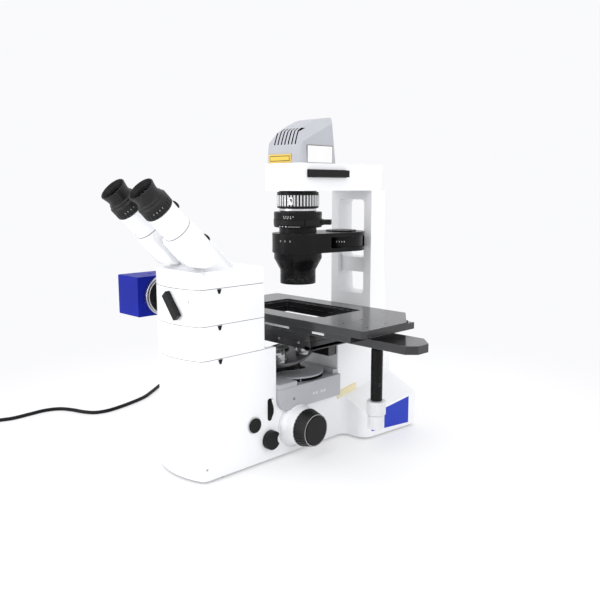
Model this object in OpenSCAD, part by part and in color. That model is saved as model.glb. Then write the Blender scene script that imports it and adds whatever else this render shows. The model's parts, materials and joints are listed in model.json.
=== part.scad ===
// Inverted laboratory microscope with a binocular tube, a side camera, a
// mechanical stage, a tilted nosepiece and a lamp arm above the specimen.
// X = 0, Y = 0 is the optical axis, Z = 0 the table, the eyepieces face -Y.

/* [Stand] */
// Half the width of the narrow body
body_half_w = 57; // [54:1:62]
// Front of the body, ahead of the optical axis
body_front = 263; // [250:1:280]
// Back of the body, behind the optical axis
body_back = 192; // [188:1:210]
// Radius of the body's front corners
front_corner_r = 22; // [14:1:26]
// Radius of the bulged front face
front_bulge_r = 135; // [110:5:180]
// Height of the column's top, where the tube modules stack
column_top = 187; // [182:1:195]
// Back of the column, ahead of the optical axis
column_back = 106; // [104:1:112]
// Front of the rear body, behind the optical axis
rear_front = 41; // [41:1:46]
// Half the width of the wide rear foot
foot_half_w = 115; // [100:1:130]
// Front of the wide rear foot
foot_front = 58; // [54:1:70]
// Height of the foot's top at its outer edge
foot_edge_h = 58; // [50:1:66]
// Slope of the foot's top across, in degrees
foot_slope = 26; // [20:1:30]
// Rise of the foot's top to the back, in degrees
foot_rise = 8; // [4:1:10]
// Thickness of the base plate
plate_t = 1.5; // [1:0.5:1.5]
// Height of the base plate above the table
ground_gap = 2.5; // [2:0.5:4]
// Radius of a rubber foot
foot_pad_r = 12; // [9:0.5:14]
// Thickness of the coloured side panels
panel_t = 1.2; // [0.8:0.1:2]

/* [Bay] */
// Height of the bay floor that carries the reflector housing
bay_floor = 79; // [76:1:82]
// Radius of the bay's front lower corner
bay_corner_r = 22; // [14:1:26]
// Height of the reflector housing's shelf
shelf_h = 117; // [115:1:119]
// How far the reflector housing stands out of the body's side
reflector_proud = 7; // [4:1:9]
// Radius of the reflector hand wheel
wheel_r = 57; // [54:0.5:58]
// Thickness of the reflector hand wheel
wheel_t = 4.4; // [3:0.1:4.4]
// Distance from the wheel's centre to the optical axis
wheel_offset = 20; // [19:0.5:22]
// Width of a filter cube
cube_w = 18; // [14:1:19]
// Floor of the reflector housing under the cubes
tray_floor = 8; // [6:0.5:10]
// Room under the filter cubes
cube_gap = 5.3; // [4:0.1:7]
// Thickness of the reflector deck above the wheel
deck_t = 3; // [2:0.5:3]

/* [Focus] */
// Height of the focus shaft
focus_z = 50; // [46:1:54]
// Distance of the focus shaft ahead of the optical axis
focus_y = 63; // [58:1:68]
// Radius of the focus boss at the body
boss_r = 36; // [33:1:38]
// Length of the focus boss
boss_l = 26.5; // [20:0.5:30]
// Radius of the coarse knob at its back
coarse_r = 31.5; // [28:0.5:34]
// Radius of the coarse knob at its face
coarse_face_r = 26.5; // [25:0.5:28]
// Length of the coarse knob
coarse_l = 21; // [16:0.5:24]
// Grip grooves around the coarse knob
coarse_grooves = 30; // [18:1:36]
// Radius of the fine knob
fine_r = 24; // [20:0.5:24]
// Length of the fine knob
fine_l = 9; // [6:0.5:10]
// Radius of the coarse tube shaft
coarse_shaft_r = 8; // [7:0.5:10]
// Radius of the fine shaft
fine_shaft_r = 5; // [3:0.5:5.5]

/* [Controls] */
// Radius of the round push button
button_r = 10; // [8:0.5:11]
// Radius of the intensity wheel
dial_r = 19; // [17:0.5:20]
// Thickness of the intensity wheel
dial_t = 7; // [5:0.5:9]
// Radius of the pointer knob
pointer_r = 13; // [11:0.5:14]

/* [Nosepiece] */
// Tilt of the nosepiece's axis to the front, in degrees
nose_tilt = 15; // [12:1:15]
// Height of the seat in use above the reflector housing's shelf
seat_rise = 51; // [50:0.5:52]
// Radius of the circle of seats
seat_circle_r = 36; // [34:0.5:37]
// Number of seats
seat_n = 5; // [4:1:5]
// Radius of the objective thread's hole
thread_r = 10.16; // [9.5:0.01:11]
// Depth of the nosepiece disc below its seats
disc_depth = 9; // [7:0.5:9]
// Radius of the nosepiece grip ring
grip_r = 48; // [47:0.5:50]
// Radius of an objective's barrel
objective_r = 12.5; // [11:0.5:13]
// Length of the longest objective above its seat
objective_l = 26; // [20:0.5:26]
// Radius of the pivot pin of the nosepiece
pivot_r = 6; // [4:0.5:8]

/* [Stage] */
// Height of the stage's top face
stage_top = 230; // [228:1:234]
// Thickness of the top plate
top_plate_t = 12; // [10:0.5:13]
// Left end of the top plate from the optical axis
stage_left = 156; // [140:1:170]
// Right end of the top plate
stage_right = 212; // [200:1:220]
// Depth of the top plate, front to back
stage_depth = 172; // [165:1:178]
// Offset of the stage's centre behind the optical axis
stage_shift = 11; // [8:0.5:14]
// Corner cut at the right back of the top plate
stage_cut = 54; // [20:1:70]
// Width of the specimen opening
opening_w = 168; // [150:1:170]
// Depth of the specimen opening, front to back
opening_d = 89; // [80:1:92]
// Width of the step around the opening
rebate_w = 7; // [4:0.5:9]
// Depth of the step around the opening
rebate_t = 3; // [2:0.5:5]
// Thickness of the cross slide's frame
frame_t = 10.7; // [8:0.1:11]
// Thickness of the guide bar
bar_t = 12; // [8:0.5:12]
// Right end of the guide bar
bar_right = 268; // [255:1:280]
// Half the width of the guide bar
bar_half_w = 31; // [24:1:36]
// Half the width of the stage carrier
carrier_half_w = 90; // [86:1:96]
// Thickness of the stage carrier
carrier_t = 8.7; // [7:0.1:8.7]
// Place of the stage drive, right of the optical axis
drive_x = 170; // [150:1:190]
// Place of the stage drive, behind the optical axis
drive_y = 9; // [0:1:16]
// Radius of the drive's sleeve
drive_r = 9.5; // [8:0.5:11]
// Radius of the upper drive knob
upper_knob_r = 15.5; // [13:0.5:18]
// Radius of the lower drive knob
lower_knob_r = 13.5; // [11:0.5:16]
// Height of one drive knob
drive_knob_h = 23; // [18:0.5:25]
// Height of the drive knobs' lower end
drive_low = 53; // [48:1:60]

/* [Tube] */
// Height of the seam above the lower tube module
seam_low = 238; // [232:1:244]
// Height of the seam above the camera port module
seam_high = 292; // [286:1:292]
// Back of the tube modules, ahead of the optical axis
tube_back = 130; // [129:1:136]
// Depth of the shadow joint between modules
joint_t = 0.8; // [0.4:0.1:1.5]
// Distance of the eyecup rims ahead of the optical axis
eye_y = 331; // [331:0.5:334]
// Height of the eyecup rims
eye_z = 436; // [436:0.5:440]
// Tilt of the eyepieces, in degrees
eye_tilt = 45; // [44:0.5:46]
// Half the distance between the eyepieces
eye_half = 36; // [35:0.5:37]
// Radius of an eyecup's rim
cup_r = 20; // [18:0.5:21]
// Radius of an eyecup's waist
cup_waist_r = 18; // [17:0.5:19]
// Length of an eyecup
cup_l = 21; // [18:0.5:24]
// Radius of the dioptre ring
dioptre_r = 22.5; // [21:0.5:23]
// Length of the dioptre ring
dioptre_l = 19; // [14:0.5:22]
// Radius of the eyepiece barrel
barrel_r = 15; // [13:0.5:15.5]
// Radius of the white sleeve
sleeve_r = 21.5; // [20:0.5:22]
// Length of the white sleeve
sleeve_l = 40; // [36:1:44]
// Radius of the prism housing
prism_r = 24.5; // [23:0.5:24.5]
// Length of the prism housing
prism_l = 69; // [64:1:69]
// Distance of a prism housing's flat side from the swing axis
flat_x = 16.6; // [15.5:0.1:18]
// Radius of the swing pin
swing_pin_r = 5; // [4:0.5:7]
// Width, depth and height of the camera body, side to side
camera_w = 58; // [48:1:70]
// Depth of the camera body, front to back
camera_d = 83; // [70:1:90]
// Height of the camera body
camera_h = 64; // [54:1:70]
// Gap between the body and the camera, filled by the adapter
adapter_l = 41; // [34:1:50]
// Radius of the camera's mounting ring
ring_r = 28.5; // [24:0.5:30]
// Distance of the camera port ahead of the optical axis
port_y = 216; // [205:1:222]
// Height of the camera port
port_z = 266; // [264:1:268]
// Length of the port lever
lever_l = 44; // [36:1:48]
// Width of the port lever
lever_w = 15; // [11:1:18]

/* [Illumination] */
// Half the width of the pillar
pillar_half_w = 48; // [44:1:52]
// Width of one pillar leg
leg_w = 17; // [13:1:20]
// Front of the pillar, behind the optical axis
pillar_front = 138; // [138:1:144]
// Depth of the pillar at the arm
pillar_depth = 38; // [32:1:42]
// Height of the lower window's sill
sill_z = 244; // [238:1:252]
// Underside of the cross bar
bar_low = 283; // [276:1:290]
// Top of the cross bar
bar_high = 310; // [302:1:318]
// Top of the upper window
window_top = 416; // [408:1:422]
// Underside of the lamp arm
arm_low = 432; // [432:1:436]
// Height of the lamp arm
arm_h = 45; // [42:1:50]
// Half the width of the lamp arm
arm_half_w = 46; // [42:1:50]
// Front of the lamp arm, ahead of the optical axis
arm_front = 38; // [38:1:44]
// Radius of the light shaft in the arm
shaft_r = 24; // [20:1:26]
// Width of the filter drawer, front to back
drawer_d = 96; // [80:1:100]
// Height of the filter drawer
drawer_h = 12.5; // [9:0.5:13]
// Half the width of the lamp housing
lamp_half_w = 41; // [38:1:45]
// Front of the lamp housing, ahead of the optical axis
lamp_front = 35; // [32:1:37]
// Back of the lamp housing, behind the optical axis
lamp_back = 55; // [50:1:60]
// Height of the lamp housing
lamp_h = 76.5; // [72:0.5:82]
// Number of vent slots in the lamp's front
vent_n = 7; // [4:1:8]
// Width of a vent slot
vent_w = 3; // [2:0.5:4]

/* [Condenser] */
// Radius of the knurled field ring
field_ring_r = 36.5; // [33:0.5:40]
// Height of the knurled field ring
field_ring_h = 27; // [22:0.5:27]
// Flutes around the field ring
flute_n = 40; // [24:1:48]
// Radius of the neck between the field ring and the drum
neck_r = 30; // [27:0.5:32]
// Radius of the aperture drum
drum_r = 41; // [38:0.5:44]
// Height of the aperture drum
drum_h = 26; // [22:0.5:28]
// Length of the aperture lever beyond the drum
aperture_lever_l = 16; // [10:1:22]
// Radius of the turret housing at the optical axis
turret_r = 44; // [42:0.5:46]
// Height of the turret housing
turret_h = 33; // [29:0.5:34]
// Radius of the contrast turret's round end
contrast_r = 42; // [38:0.5:42]
// Place of the contrast turret, right of the optical axis
contrast_x = 18; // [12:1:20]
// Place of the contrast turret, behind the optical axis
contrast_y = 90; // [84:1:90]
// Radius of the condenser's lower barrel
lens_barrel_r = 30.5; // [28:0.5:34]
// Height of the condenser's lower end
condenser_low = 275; // [270:1:280]

/* [Fits] */
// Radial play of a shaft in its bore
shaft_play = 0.05; // [0.02:0.01:0.1]
// Running gap between moving faces
run_gap = 0.3; // [0.2:0.05:0.4]

/* [Cord] */
// Diameter of the mains cord
cord_d = 7; // [6:0.5:8]

/* [Hidden] */

$fn = 64;
eps = 0.01;
big = 600;
body_low = ground_gap + plate_t;
rear_top = column_top - 1.3;
wheel_low = shelf_h + run_gap;
deck_low = wheel_low + wheel_t + run_gap;
deck_top = deck_low + deck_t;
cube_h = wheel_low - bay_floor - tray_floor - cube_gap;
seat_z = shelf_h + seat_rise;
knob_back = body_half_w + boss_l + 0.5;
frame_top = stage_top - top_plate_t - run_gap;
frame_low = frame_top - frame_t;
bar_low_z = frame_low - bar_t;
carrier_top = bar_low_z - run_gap;
carrier_low = carrier_top - carrier_t;
stage_front = stage_shift - stage_depth / 2;
stage_back = stage_shift + stage_depth / 2;
frame_front = stage_front + 5;
frame_back = stage_back - 7;
arm_top = arm_low + arm_h;
arm_back = pillar_front + pillar_depth;
drawer_low = arm_low + 22;
field_low = arm_low - 2 - field_ring_h;
neck_low = field_low - 6;
drum_low = neck_low - drum_h;
turret_top = drum_low - 10;
turret_low = turret_top - turret_h;
dioptre_low = cup_l + dioptre_l;
sleeve_low = dioptre_low + sleeve_l;
prism_low = sleeve_low + prism_l;
seat_angle = 360 / seat_n;
white = "whitesmoke";
black = [0.09, 0.09, 0.1];
grey = [0.72, 0.72, 0.76];
silver = [0.8, 0.8, 0.8];
blue = [0.16, 0.24, 0.7];

// A flat rectangle with round corners, from its edges
module round_rect(x0, x1, y0, y1, r) {
    translate([x0 + r, y0]) square([x1 - x0 - 2 * r, y1 - y0]);
    translate([x0, y0 + r]) square([x1 - x0, y1 - y0 - 2 * r]);
    for (x = [x0 + r, x1 - r], y = [y0 + r, y1 - r]) translate([x, y]) circle(r);
}

// A box from its edges
module box(x0, x1, y0, y1, z0, z1) {
    translate([x0, y0, z0]) cube([x1 - x0, y1 - y0, z1 - z0]);
}

// Draws a flat outline of the YZ plane and extrudes it along X
module side_extrude(x0, x1) {
    translate([x0, 0, 0]) rotate([90, 0, 90]) linear_extrude(x1 - x0) children();
}

// Puts a piece on both sides of the body
module both_sides() {
    children();
    mirror([1, 0, 0]) children();
}

// The eyepiece frame: local Z points out of the eyecup to the eye, 0 at its rim
module tube_frame() {
    translate([0, -eye_y, eye_z]) rotate([eye_tilt, 0, 0]) children();
}

// The nosepiece frame: local Z is the nosepiece's axis, 0 at its circle of seats
module nose_frame() {
    translate([0, 0, seat_z]) rotate([nose_tilt, 0, 0]) translate([0, -seat_circle_r, 0]) children();
}

// Plan of the body's narrow part, from its front to the given back
module narrow_outline(back, inset = 0) {
    w = body_half_w - inset;
    intersection() {
        round_rect(-w, w, inset - body_front, back - inset, front_corner_r - inset);
        translate([0, front_bulge_r - body_front]) circle(front_bulge_r - inset, $fn = 160);
    }
    translate([-w, -body_front + 3 * front_corner_r])
        square([2 * w, body_front + back - inset - 3 * front_corner_r]);
}

// Plan of the wide rear foot
module foot_outline(inset = 0) {
    corner = 22;
    taper = 8;
    x = foot_half_w - taper - corner;
    w = foot_half_w - inset;
    difference() {
        union() {
            polygon([[-x, foot_front + inset], [x, foot_front + inset],
                [w - taper, foot_front + corner], [w, body_back - inset],
                [-w, body_back - inset], [inset + taper - foot_half_w, foot_front + corner]]);
            for (s = [-1, 1]) translate([s * x, foot_front + corner]) circle(corner - inset);
        }
        // the corner rounds stay inside the foot's own back
        translate([-big, body_back - inset]) square([2 * big, big]);
    }
    // hollow corners where the foot leaves the body's sides
    fillet = 15;
    for (s = [-1, 1]) scale([s, 1]) difference() {
        translate([body_half_w - inset, foot_front - fillet + inset]) square(fillet);
        translate([body_half_w + fillet - inset, foot_front - fillet + inset]) circle(fillet);
    }
}

// Side view of the bay between the column and the rear body
module bay_profile(gap = 0) {
    y0 = gap - column_back;
    y1 = rear_front - gap;
    z0 = bay_floor + gap;
    r = bay_corner_r - gap;
    translate([y0, z0 + r]) square([y1 - y0, big]);
    translate([y0 + r, z0]) square([y1 - y0 - r, 2 * r]);
    translate([y0 + r, z0 + r]) circle(r);
}

// Flared half of the rear foot on the right, under its sloping top
module right_flare() {
    difference() {
        intersection() {
            translate([0, 0, body_low]) linear_extrude(120) foot_outline();
            box(0, big, 0, big, 0, big);
        }
        translate([foot_half_w, 150, foot_edge_h]) rotate([foot_rise, 0, 0]) rotate([0, foot_slope, 0])
            translate([-big / 2, -big / 2, 0]) cube([big, big, 200]);
    }
}

dial_y = -120;
dial_z = 87;
dial_x = body_half_w + 4 - dial_r;
button_y = -153;
button_z = 69;
pointer_y = -121;
pointer_z = 38;
cavity_half_w = 46;
cavity_depth = 11;
cavity_low = deck_top + 1;
rail_half_w = 12;
rail_depth = 9;

module stand_body() {
    color(white) difference() {
        union() {
            difference() {
                translate([0, 0, body_low]) linear_extrude(column_top - body_low) narrow_outline(body_back - 6);
                box(-big, big, -column_back, big, rear_top, big);
                side_extrude(-big, big) bay_profile();
            }
            both_sides() right_flare();
            translate([0, 0, body_low]) linear_extrude(bay_floor - body_low - 20)
                round_rect(-body_half_w, body_half_w, 0, body_back, 6);
        }
        // pocket in the column for the nosepiece and its focus rail
        box(-cavity_half_w, cavity_half_w, -column_back - cavity_depth, -column_back + 1, cavity_low, big);
        // bore of the focus shaft
        translate([0, -focus_y, focus_z]) rotate([0, 90, 0]) cylinder(r = coarse_shaft_r + 1, h = big, center = true);
        // seats of the controls on the right side
        translate([body_half_w - 8, button_y, button_z]) rotate([0, 90, 0]) cylinder(r = button_r + run_gap, h = 20);
        translate([body_half_w - 12, pointer_y, pointer_z]) rotate([0, 90, 0]) cylinder(r = 4 + shaft_play, h = 20);
        translate([dial_x, dial_y - dial_t / 2 - run_gap, dial_z]) rotate([-90, 0, 0])
            cylinder(r = dial_r + run_gap, h = dial_t + 2 * run_gap);
        translate([dial_x, dial_y - dial_t, dial_z]) rotate([-90, 0, 0]) cylinder(r = 2.5, h = 2 * dial_t);
        // socket for the power inlet and seat of the rear panel
        box(inlet_x - 14, inlet_x + 14, body_back - 22, big, inlet_z - 10, inlet_z + 10);
        both_sides() side_panel(panel_t, 0);
    }
}

module base_plate() {
    color(black) translate([0, 0, ground_gap]) linear_extrude(plate_t) difference() {
        union() {
            narrow_outline(body_back - 6, 3);
            foot_outline(3);
        }
        foot_places() circle(foot_pad_r + run_gap);
    }
}

// Places of the four rubber feet
module foot_places() {
    for (s = [-1, 1]) {
        translate([s * (body_half_w - 17), 50 - body_front]) children();
        translate([s * (foot_half_w - 20), body_back - 24]) children();
    }
}

module feet() {
    color(black) foot_places() {
        cylinder(r1 = foot_pad_r - 1, r2 = foot_pad_r, h = 1);
        translate([0, 0, 1]) cylinder(r = foot_pad_r, h = body_low - 1);
    }
}

// One coloured panel let into the foot's side, grown by a play
module side_panel(proud, play) {
    lean = atan(8 / (body_back - foot_front - 22));
    translate([foot_half_w, body_back, 0]) rotate([0, 0, -lean]) translate([-panel_t, 0, 0]) rotate([90, 0, 90])
        linear_extrude(panel_t + proud) offset_quad(play);
}

// Four-cornered outline of a side panel, measured from the foot's back end
module offset_quad(play) {
    polygon([[-116 + play, 14 + play], [-18 - play, 9 + play], [-18 - play, foot_edge_h + 1 - play],
        [-116 + play, foot_edge_h - 13 - play]]);
}

module side_panels() {
    color(blue) both_sides() side_panel(0, 0.1);
}

inlet_x = -84;
inlet_z = 34;
socket_l = 20;

module rear_panel() {
    color(grey) difference() {
        translate([0, body_back, 0]) rotate([-90, 0, 0]) mirror([0, 1, 0])
            linear_extrude(1.5) round_rect(9 - foot_half_w, 40, 12, foot_edge_h - 2, 4);
        box(inlet_x - 14, inlet_x + 14, 0, big, inlet_z - 10, inlet_z + 10);
    }
}

module power_inlet() {
    color(black) difference() {
        union() {
            box(inlet_x - 13.7, inlet_x + 13.7, body_back - socket_l, body_back + 1.5, inlet_z - 9.7, inlet_z + 9.7);
            box(inlet_x - 17, inlet_x + 17, body_back + 1.5, body_back + 3.5, inlet_z - 12, inlet_z + 12);
        }
        box(inlet_x - 10, inlet_x + 10, body_back - 14, big, inlet_z - 6.5, inlet_z + 6.5);
    }
}

// A tube module of the body's plan between two heights, with a shadow joint at its foot
module tube_module(z0, z1) {
    translate([0, 0, z0]) linear_extrude(joint_t) narrow_outline(-tube_back, 1);
    translate([0, 0, z0 + joint_t]) linear_extrude(z1 - z0 - joint_t) narrow_outline(-tube_back);
}

module lower_tube_module() {
    color(white) tube_module(column_top, seam_low);
}

lever_x = -3;
lever_z = seam_high - 13;
lever_front = body_front - 0.2;

module camera_port_module() {
    color(white) difference() {
        tube_module(seam_low, seam_high);
        translate([-big, -port_y, port_z]) rotate([0, 90, 0]) cylinder(r = 20, h = big - body_half_w + 10);
        translate([lever_x, -body_front + 14, lever_z]) rotate([90, 0, 0]) cylinder(r = 4 + shaft_play, h = 30);
    }
}

module binocular_base() {
    base_h = 26;
    color(white) difference() {
        union() {
            intersection() {
                tube_module(seam_high, seam_high + base_h);
                // the front edge slopes back above a short upright band
                translate([0, 12 - body_front, seam_high + base_h - 2]) rotate([45, 0, 0])
                    translate([-big / 2, -40, -big]) cube([big, big, big]);
            }
            intersection() {
                tube_frame() translate([0, 0, -prism_low - 52]) cylinder(r = 43, h = 52 - 1);
                box(-big, big, -big, big, seam_high + joint_t, big);
                translate([0, 0, 0]) linear_extrude(big) narrow_outline(-tube_back);
            }
        }
        // room for the swinging prism housings
        tube_frame() translate([-big / 2, -prism_r - 2, -prism_low - 1]) cube([big, big, big]);
        tube_frame() translate([0, 0, -prism_low - 20]) cylinder(r = swing_pin_r + shaft_play, h = 40);
    }
}

// Wedge-shaped head of one clamp screw under a seam
module clamp_screw(x, y, z) {
    translate([x, y, z - 0.5]) rotate([0, 90, 0]) linear_extrude(1)
        polygon([[0, -4], [0, 4], [7, 1.5], [7, -1.5]]);
}

module module_clamps() {
    color(black) for (z = [column_top, seam_low, seam_high]) {
        clamp_screw(body_half_w, 45 - body_front, z);
        mirror([1, 0, 0]) clamp_screw(body_half_w, -30 - tube_back, z);
    }
}

// Heights of the two hinge lugs along the swing pin, below the eyecup rims
right_lug = 100;
left_lug = 140;
lug_t = 4;

module swing_spindle() {
    color(silver) tube_frame() {
        translate([0, 0, -prism_low - 19]) cylinder(r = swing_pin_r, h = prism_low + 19 - right_lug + 4);
        translate([0, 0, -prism_low - 1]) cylinder(r = 12, h = prism_low + 1 - left_lug - lug_t - run_gap);
        translate([0, 0, -left_lug + run_gap]) cylinder(r = 14, h = left_lug - right_lug - lug_t - 2 * run_gap);
        translate([0, 0, -right_lug + run_gap]) cylinder(r = 12, h = 4);
    }
}

// Prism housing, sleeve and hinge lug of one side, in the eyepiece frame
module prism_arm(side, lug) {
    round_z = -prism_low + prism_r;
    difference() {
        union() {
            difference() {
                translate([side * eye_half, 0, 0]) {
                    translate([0, 0, round_z]) cylinder(r = prism_r, h = -sleeve_low - 8 - round_z);
                    translate([0, 0, -sleeve_low - 8]) cylinder(r1 = prism_r, r2 = sleeve_r - 1, h = 8);
                    intersection() {
                        translate([0, 0, -prism_low]) cylinder(r = prism_r, h = prism_r);
                        translate([0, 0, round_z]) rotate([0, 90, 0]) cylinder(r = prism_r, h = big, center = true);
                    }
                }
                translate([side > 0 ? flat_x - big : -flat_x, -big / 2, -big]) cube([big, big, 2 * big]);
            }
            intersection() {
                union() {
                    translate([0, 0, -lug - lug_t]) cylinder(r = 14, h = lug_t);
                    translate([side > 0 ? 0 : -20, -9, -lug - lug_t]) cube([20, 18, lug_t]);
                }
                cylinder(r = 22, h = 2 * big, center = true);
            }
            translate([side * eye_half, 0, -sleeve_low]) cylinder(r = sleeve_r, h = sleeve_l);
        }
        cylinder(r = swing_pin_r + shaft_play, h = 2 * big, center = true);
        translate([side * eye_half, 0, -sleeve_low + 8]) cylinder(r = barrel_r + shaft_play, h = sleeve_l);
    }
}

module right_prism_arm() {
    color(white) tube_frame() prism_arm(1, right_lug);
}

module left_prism_arm() {
    color(white) tube_frame() prism_arm(-1, left_lug);
}

// Two round caps on the upper side of one tube
module tube_caps(side) {
    cap_r = 7.5;
    for (place = [[dioptre_low + 14, sleeve_r], [sleeve_low + 45, prism_r]])
        translate([side * eye_half, place[1] - 1, -place[0]]) rotate([-90, 0, 0]) {
            cylinder(r = cap_r, h = 3);
            translate([0, 0, 3]) cylinder(r1 = cap_r, r2 = cap_r - 1.5, h = 1.5);
        }
}

module right_tube_caps() {
    color(black) tube_frame() difference() {
        tube_caps(1);
        prism_arm(1, right_lug);
    }
}

module left_tube_caps() {
    color(black) tube_frame() difference() {
        tube_caps(-1);
        prism_arm(-1, left_lug);
    }
}

// One eyepiece: barrel in the sleeve, flange under the dioptre ring, top tube in the cup
module eyepiece(side) {
    translate([side * eye_half, 0, 0]) difference() {
        union() {
            translate([0, 0, -dioptre_low - 26]) cylinder(r = barrel_r, h = 26 + eps);
            translate([0, 0, -dioptre_low]) cylinder(r = dioptre_r - 3, h = dioptre_l - 1);
            translate([0, 0, -cup_l - 1 - eps]) cylinder(r = barrel_r - 0.5, h = 14);
        }
        translate([0, 0, -dioptre_low - 30]) cylinder(r = barrel_r - 3, h = big);
        translate([0, 0, -cup_l + 7]) cylinder(r = barrel_r - 2, h = big);
    }
}

module right_eyepiece() {
    color(black) tube_frame() eyepiece(1);
}

module left_eyepiece() {
    color(black) tube_frame() eyepiece(-1);
}

// A round lens with one domed face
module domed_disc(r, edge, dome_r) {
    intersection() {
        cylinder(r = r, h = edge + 2 * r);
        translate([0, 0, edge - sqrt(dome_r * dome_r - r * r)]) sphere(dome_r);
    }
}

// Domed eye lens in the top of an eyepiece
module eye_lens(side) {
    lens_r = barrel_r - 2 - shaft_play;
    dome_r = 34;
    translate([side * eye_half, 0, -cup_l + 7]) domed_disc(lens_r, 2.5, dome_r);
}

module right_eye_lens() {
    color("lightblue", 0.5) tube_frame() eye_lens(1);
}

module left_eye_lens() {
    color("lightblue", 0.5) tube_frame() eye_lens(-1);
}

// Ribbed ring that sets the dioptre
module dioptre_ring(side) {
    ribs = 24;
    translate([side * eye_half, 0, 0]) difference() {
        union() {
            translate([0, 0, -dioptre_low + run_gap]) cylinder(r = dioptre_r, h = dioptre_l - 3 - run_gap);
            translate([0, 0, -cup_l - 3]) cylinder(r1 = dioptre_r, r2 = dioptre_r - 2.5, h = 3);
        }
        translate([0, 0, -big]) cylinder(r = dioptre_r - 3 + shaft_play, h = 2 * big);
        for (i = [0:ribs - 1]) rotate([0, 0, i * 360 / ribs])
            translate([dioptre_r - 0.6, -0.8, -dioptre_low + 2]) cube([2, 1.6, 9]);
    }
}

module right_dioptre_ring() {
    color(black) tube_frame() dioptre_ring(1);
}

module left_dioptre_ring() {
    color(black) tube_frame() dioptre_ring(-1);
}

// Rubber eyecup, waisted, open to the eye
module eyecup(side) {
    inner = barrel_r - 0.5 + run_gap;
    translate([side * eye_half, 0, 0]) rotate_extrude()
        polygon([[inner, -cup_l], [dioptre_r - 2.5, -cup_l], [dioptre_r - 2.5, -cup_l + 2],
            [cup_waist_r, -cup_l + 4], [cup_waist_r - 0.3, -cup_l + 9], [cup_waist_r + 0.4, -8],
            [cup_r - 0.4, -2.5], [cup_r, -1], [cup_r - 0.6, 0], [cup_r - 1.6, -0.3],
            [cup_r - 3, -4], [inner + 0.4, -cup_l + 13]]);
}

module right_eyecup() {
    color(black) tube_frame() eyecup(1);
}

module left_eyecup() {
    color(black) tube_frame() eyecup(-1);
}

module port_lever() {
    color(black) translate([lever_x, -lever_front, lever_z]) {
        rotate([90, 0, 0]) translate([0, 0, -12]) cylinder(r = 4, h = 14);
        rotate([90, 0, 0]) translate([0, 0, 0.6]) rotate([0, 0, 40]) linear_extrude(8) {
            circle(lever_w / 2);
            translate([-lever_w / 2, -lever_l + lever_w]) square([lever_w, lever_l - lever_w]);
            translate([0, -lever_l + lever_w]) circle(lever_w / 2);
        }
    }
}

camera_right = -body_half_w - adapter_l;

module camera_adapter() {
    color(silver) translate([-body_half_w + 8, -port_y, port_z]) rotate([0, -90, 0]) rotate_extrude()
        polygon([[12, 0], [19.8, 0], [19.8, 8], [ring_r - 4, 8], [ring_r - 4, 24], [ring_r - 6, 26],
            [ring_r - 6, 34], [ring_r - 1, 36], [ring_r, 38], [ring_r, adapter_l + 8], [12, adapter_l + 8]]);
}

module camera_body() {
    y = -port_y;
    color(blue) difference() {
        translate([camera_right - camera_w, 0, 0]) rotate([90, 0, 90]) linear_extrude(camera_w)
            round_rect(y - camera_d / 2, y + camera_d / 2, port_z - camera_h / 2, port_z + camera_h / 2, 2);
        translate([camera_right - 6, y, port_z]) rotate([0, 90, 0]) cylinder(r = 12, h = 10);
        translate([camera_right - camera_w / 2, y, port_z + camera_h / 2 - 5]) cylinder(r = 3.2, h = 10);
        // cooling grooves across the left end
        for (i = [-3:3]) box(-big, camera_right - camera_w + 1.5, y + i * 9 - 1, y + i * 9 + 1,
            port_z - camera_h / 2 + 8, port_z + camera_h / 2 - 8);
    }
}

// Side view of the pillar: deeper at its foot
module pillar_side() {
    polygon([[pillar_front, rear_top], [body_back - 8, rear_top], [arm_back + 6, sill_z],
        [arm_back, bar_high], [arm_back, arm_low], [pillar_front, arm_low]]);
}

module lamp_pillar() {
    inner = pillar_half_w - leg_w;
    color(white) difference() {
        side_extrude(-pillar_half_w, pillar_half_w) pillar_side();
        rotate([90, 0, 0]) translate([0, 0, -big]) linear_extrude(big) {
            round_rect(-inner, inner, sill_z, bar_low, 6);
            round_rect(-inner, inner, bar_high, window_top, 8);
        }
        // the cross bar stands back from the front of the legs
        box(-inner, inner, 0, pillar_front + 8, bar_low - 8, bar_high + 8);
        for (y = [150, 170]) translate([0, y, rear_top - 1]) cylinder(r = 3, h = 20);
    }
}

module lamp_arm() {
    color(white) difference() {
        intersection() {
            translate([0, 0, arm_low]) linear_extrude(arm_h)
                round_rect(-arm_half_w, arm_half_w, -arm_front, arm_back, 10);
            // the back upper edge is rounded off
            side_extrude(-big, big) round_rect(-arm_front - 20, arm_back, arm_low - 60, arm_top, 12);
        }
        translate([0, 0, arm_low - 1]) cylinder(r = shaft_r, h = arm_h + 2);
        translate([0, 0, arm_low + 8]) cylinder(r = shaft_r + 3, h = 9);
        box(-32, big, drawer_y - run_gap, drawer_y + drawer_d + run_gap, drawer_low - run_gap,
            drawer_low + drawer_h + run_gap);
    }
}

drawer_y = -24;

// The collector above the filters and the condenser's lowest lens
module lamp_lenses() {
    collector_lens();
    condenser_lens();
}

module collector_lens() {
    color("lightblue", 0.5) translate([0, 0, arm_low + 8]) domed_disc(shaft_r + 3 - shaft_play, 2, 64);
}

module filter_drawer() {
    face_x = arm_half_w + 1;
    color(black) difference() {
        union() {
            box(-30, face_x, drawer_y, drawer_y + drawer_d, drawer_low, drawer_low + drawer_h);
            box(face_x, face_x + 7, drawer_y + 1, drawer_y + drawer_d - 1, drawer_low + 0.5, drawer_low + drawer_h - 0.5);
        }
        for (y = filter_places) translate([0, y, drawer_low - 1]) cylinder(r = 18, h = drawer_h + 2);
        for (y = filter_places) translate([0, y, drawer_low + 5]) cylinder(r = 20, h = drawer_h);
    }
}

filter_places = [0, 46];

module drawer_filters() {
    color("lightblue", 0.6) for (y = filter_places)
        translate([0, y, drawer_low + 5]) cylinder(r = 20 - shaft_play, h = 3);
}

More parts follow.
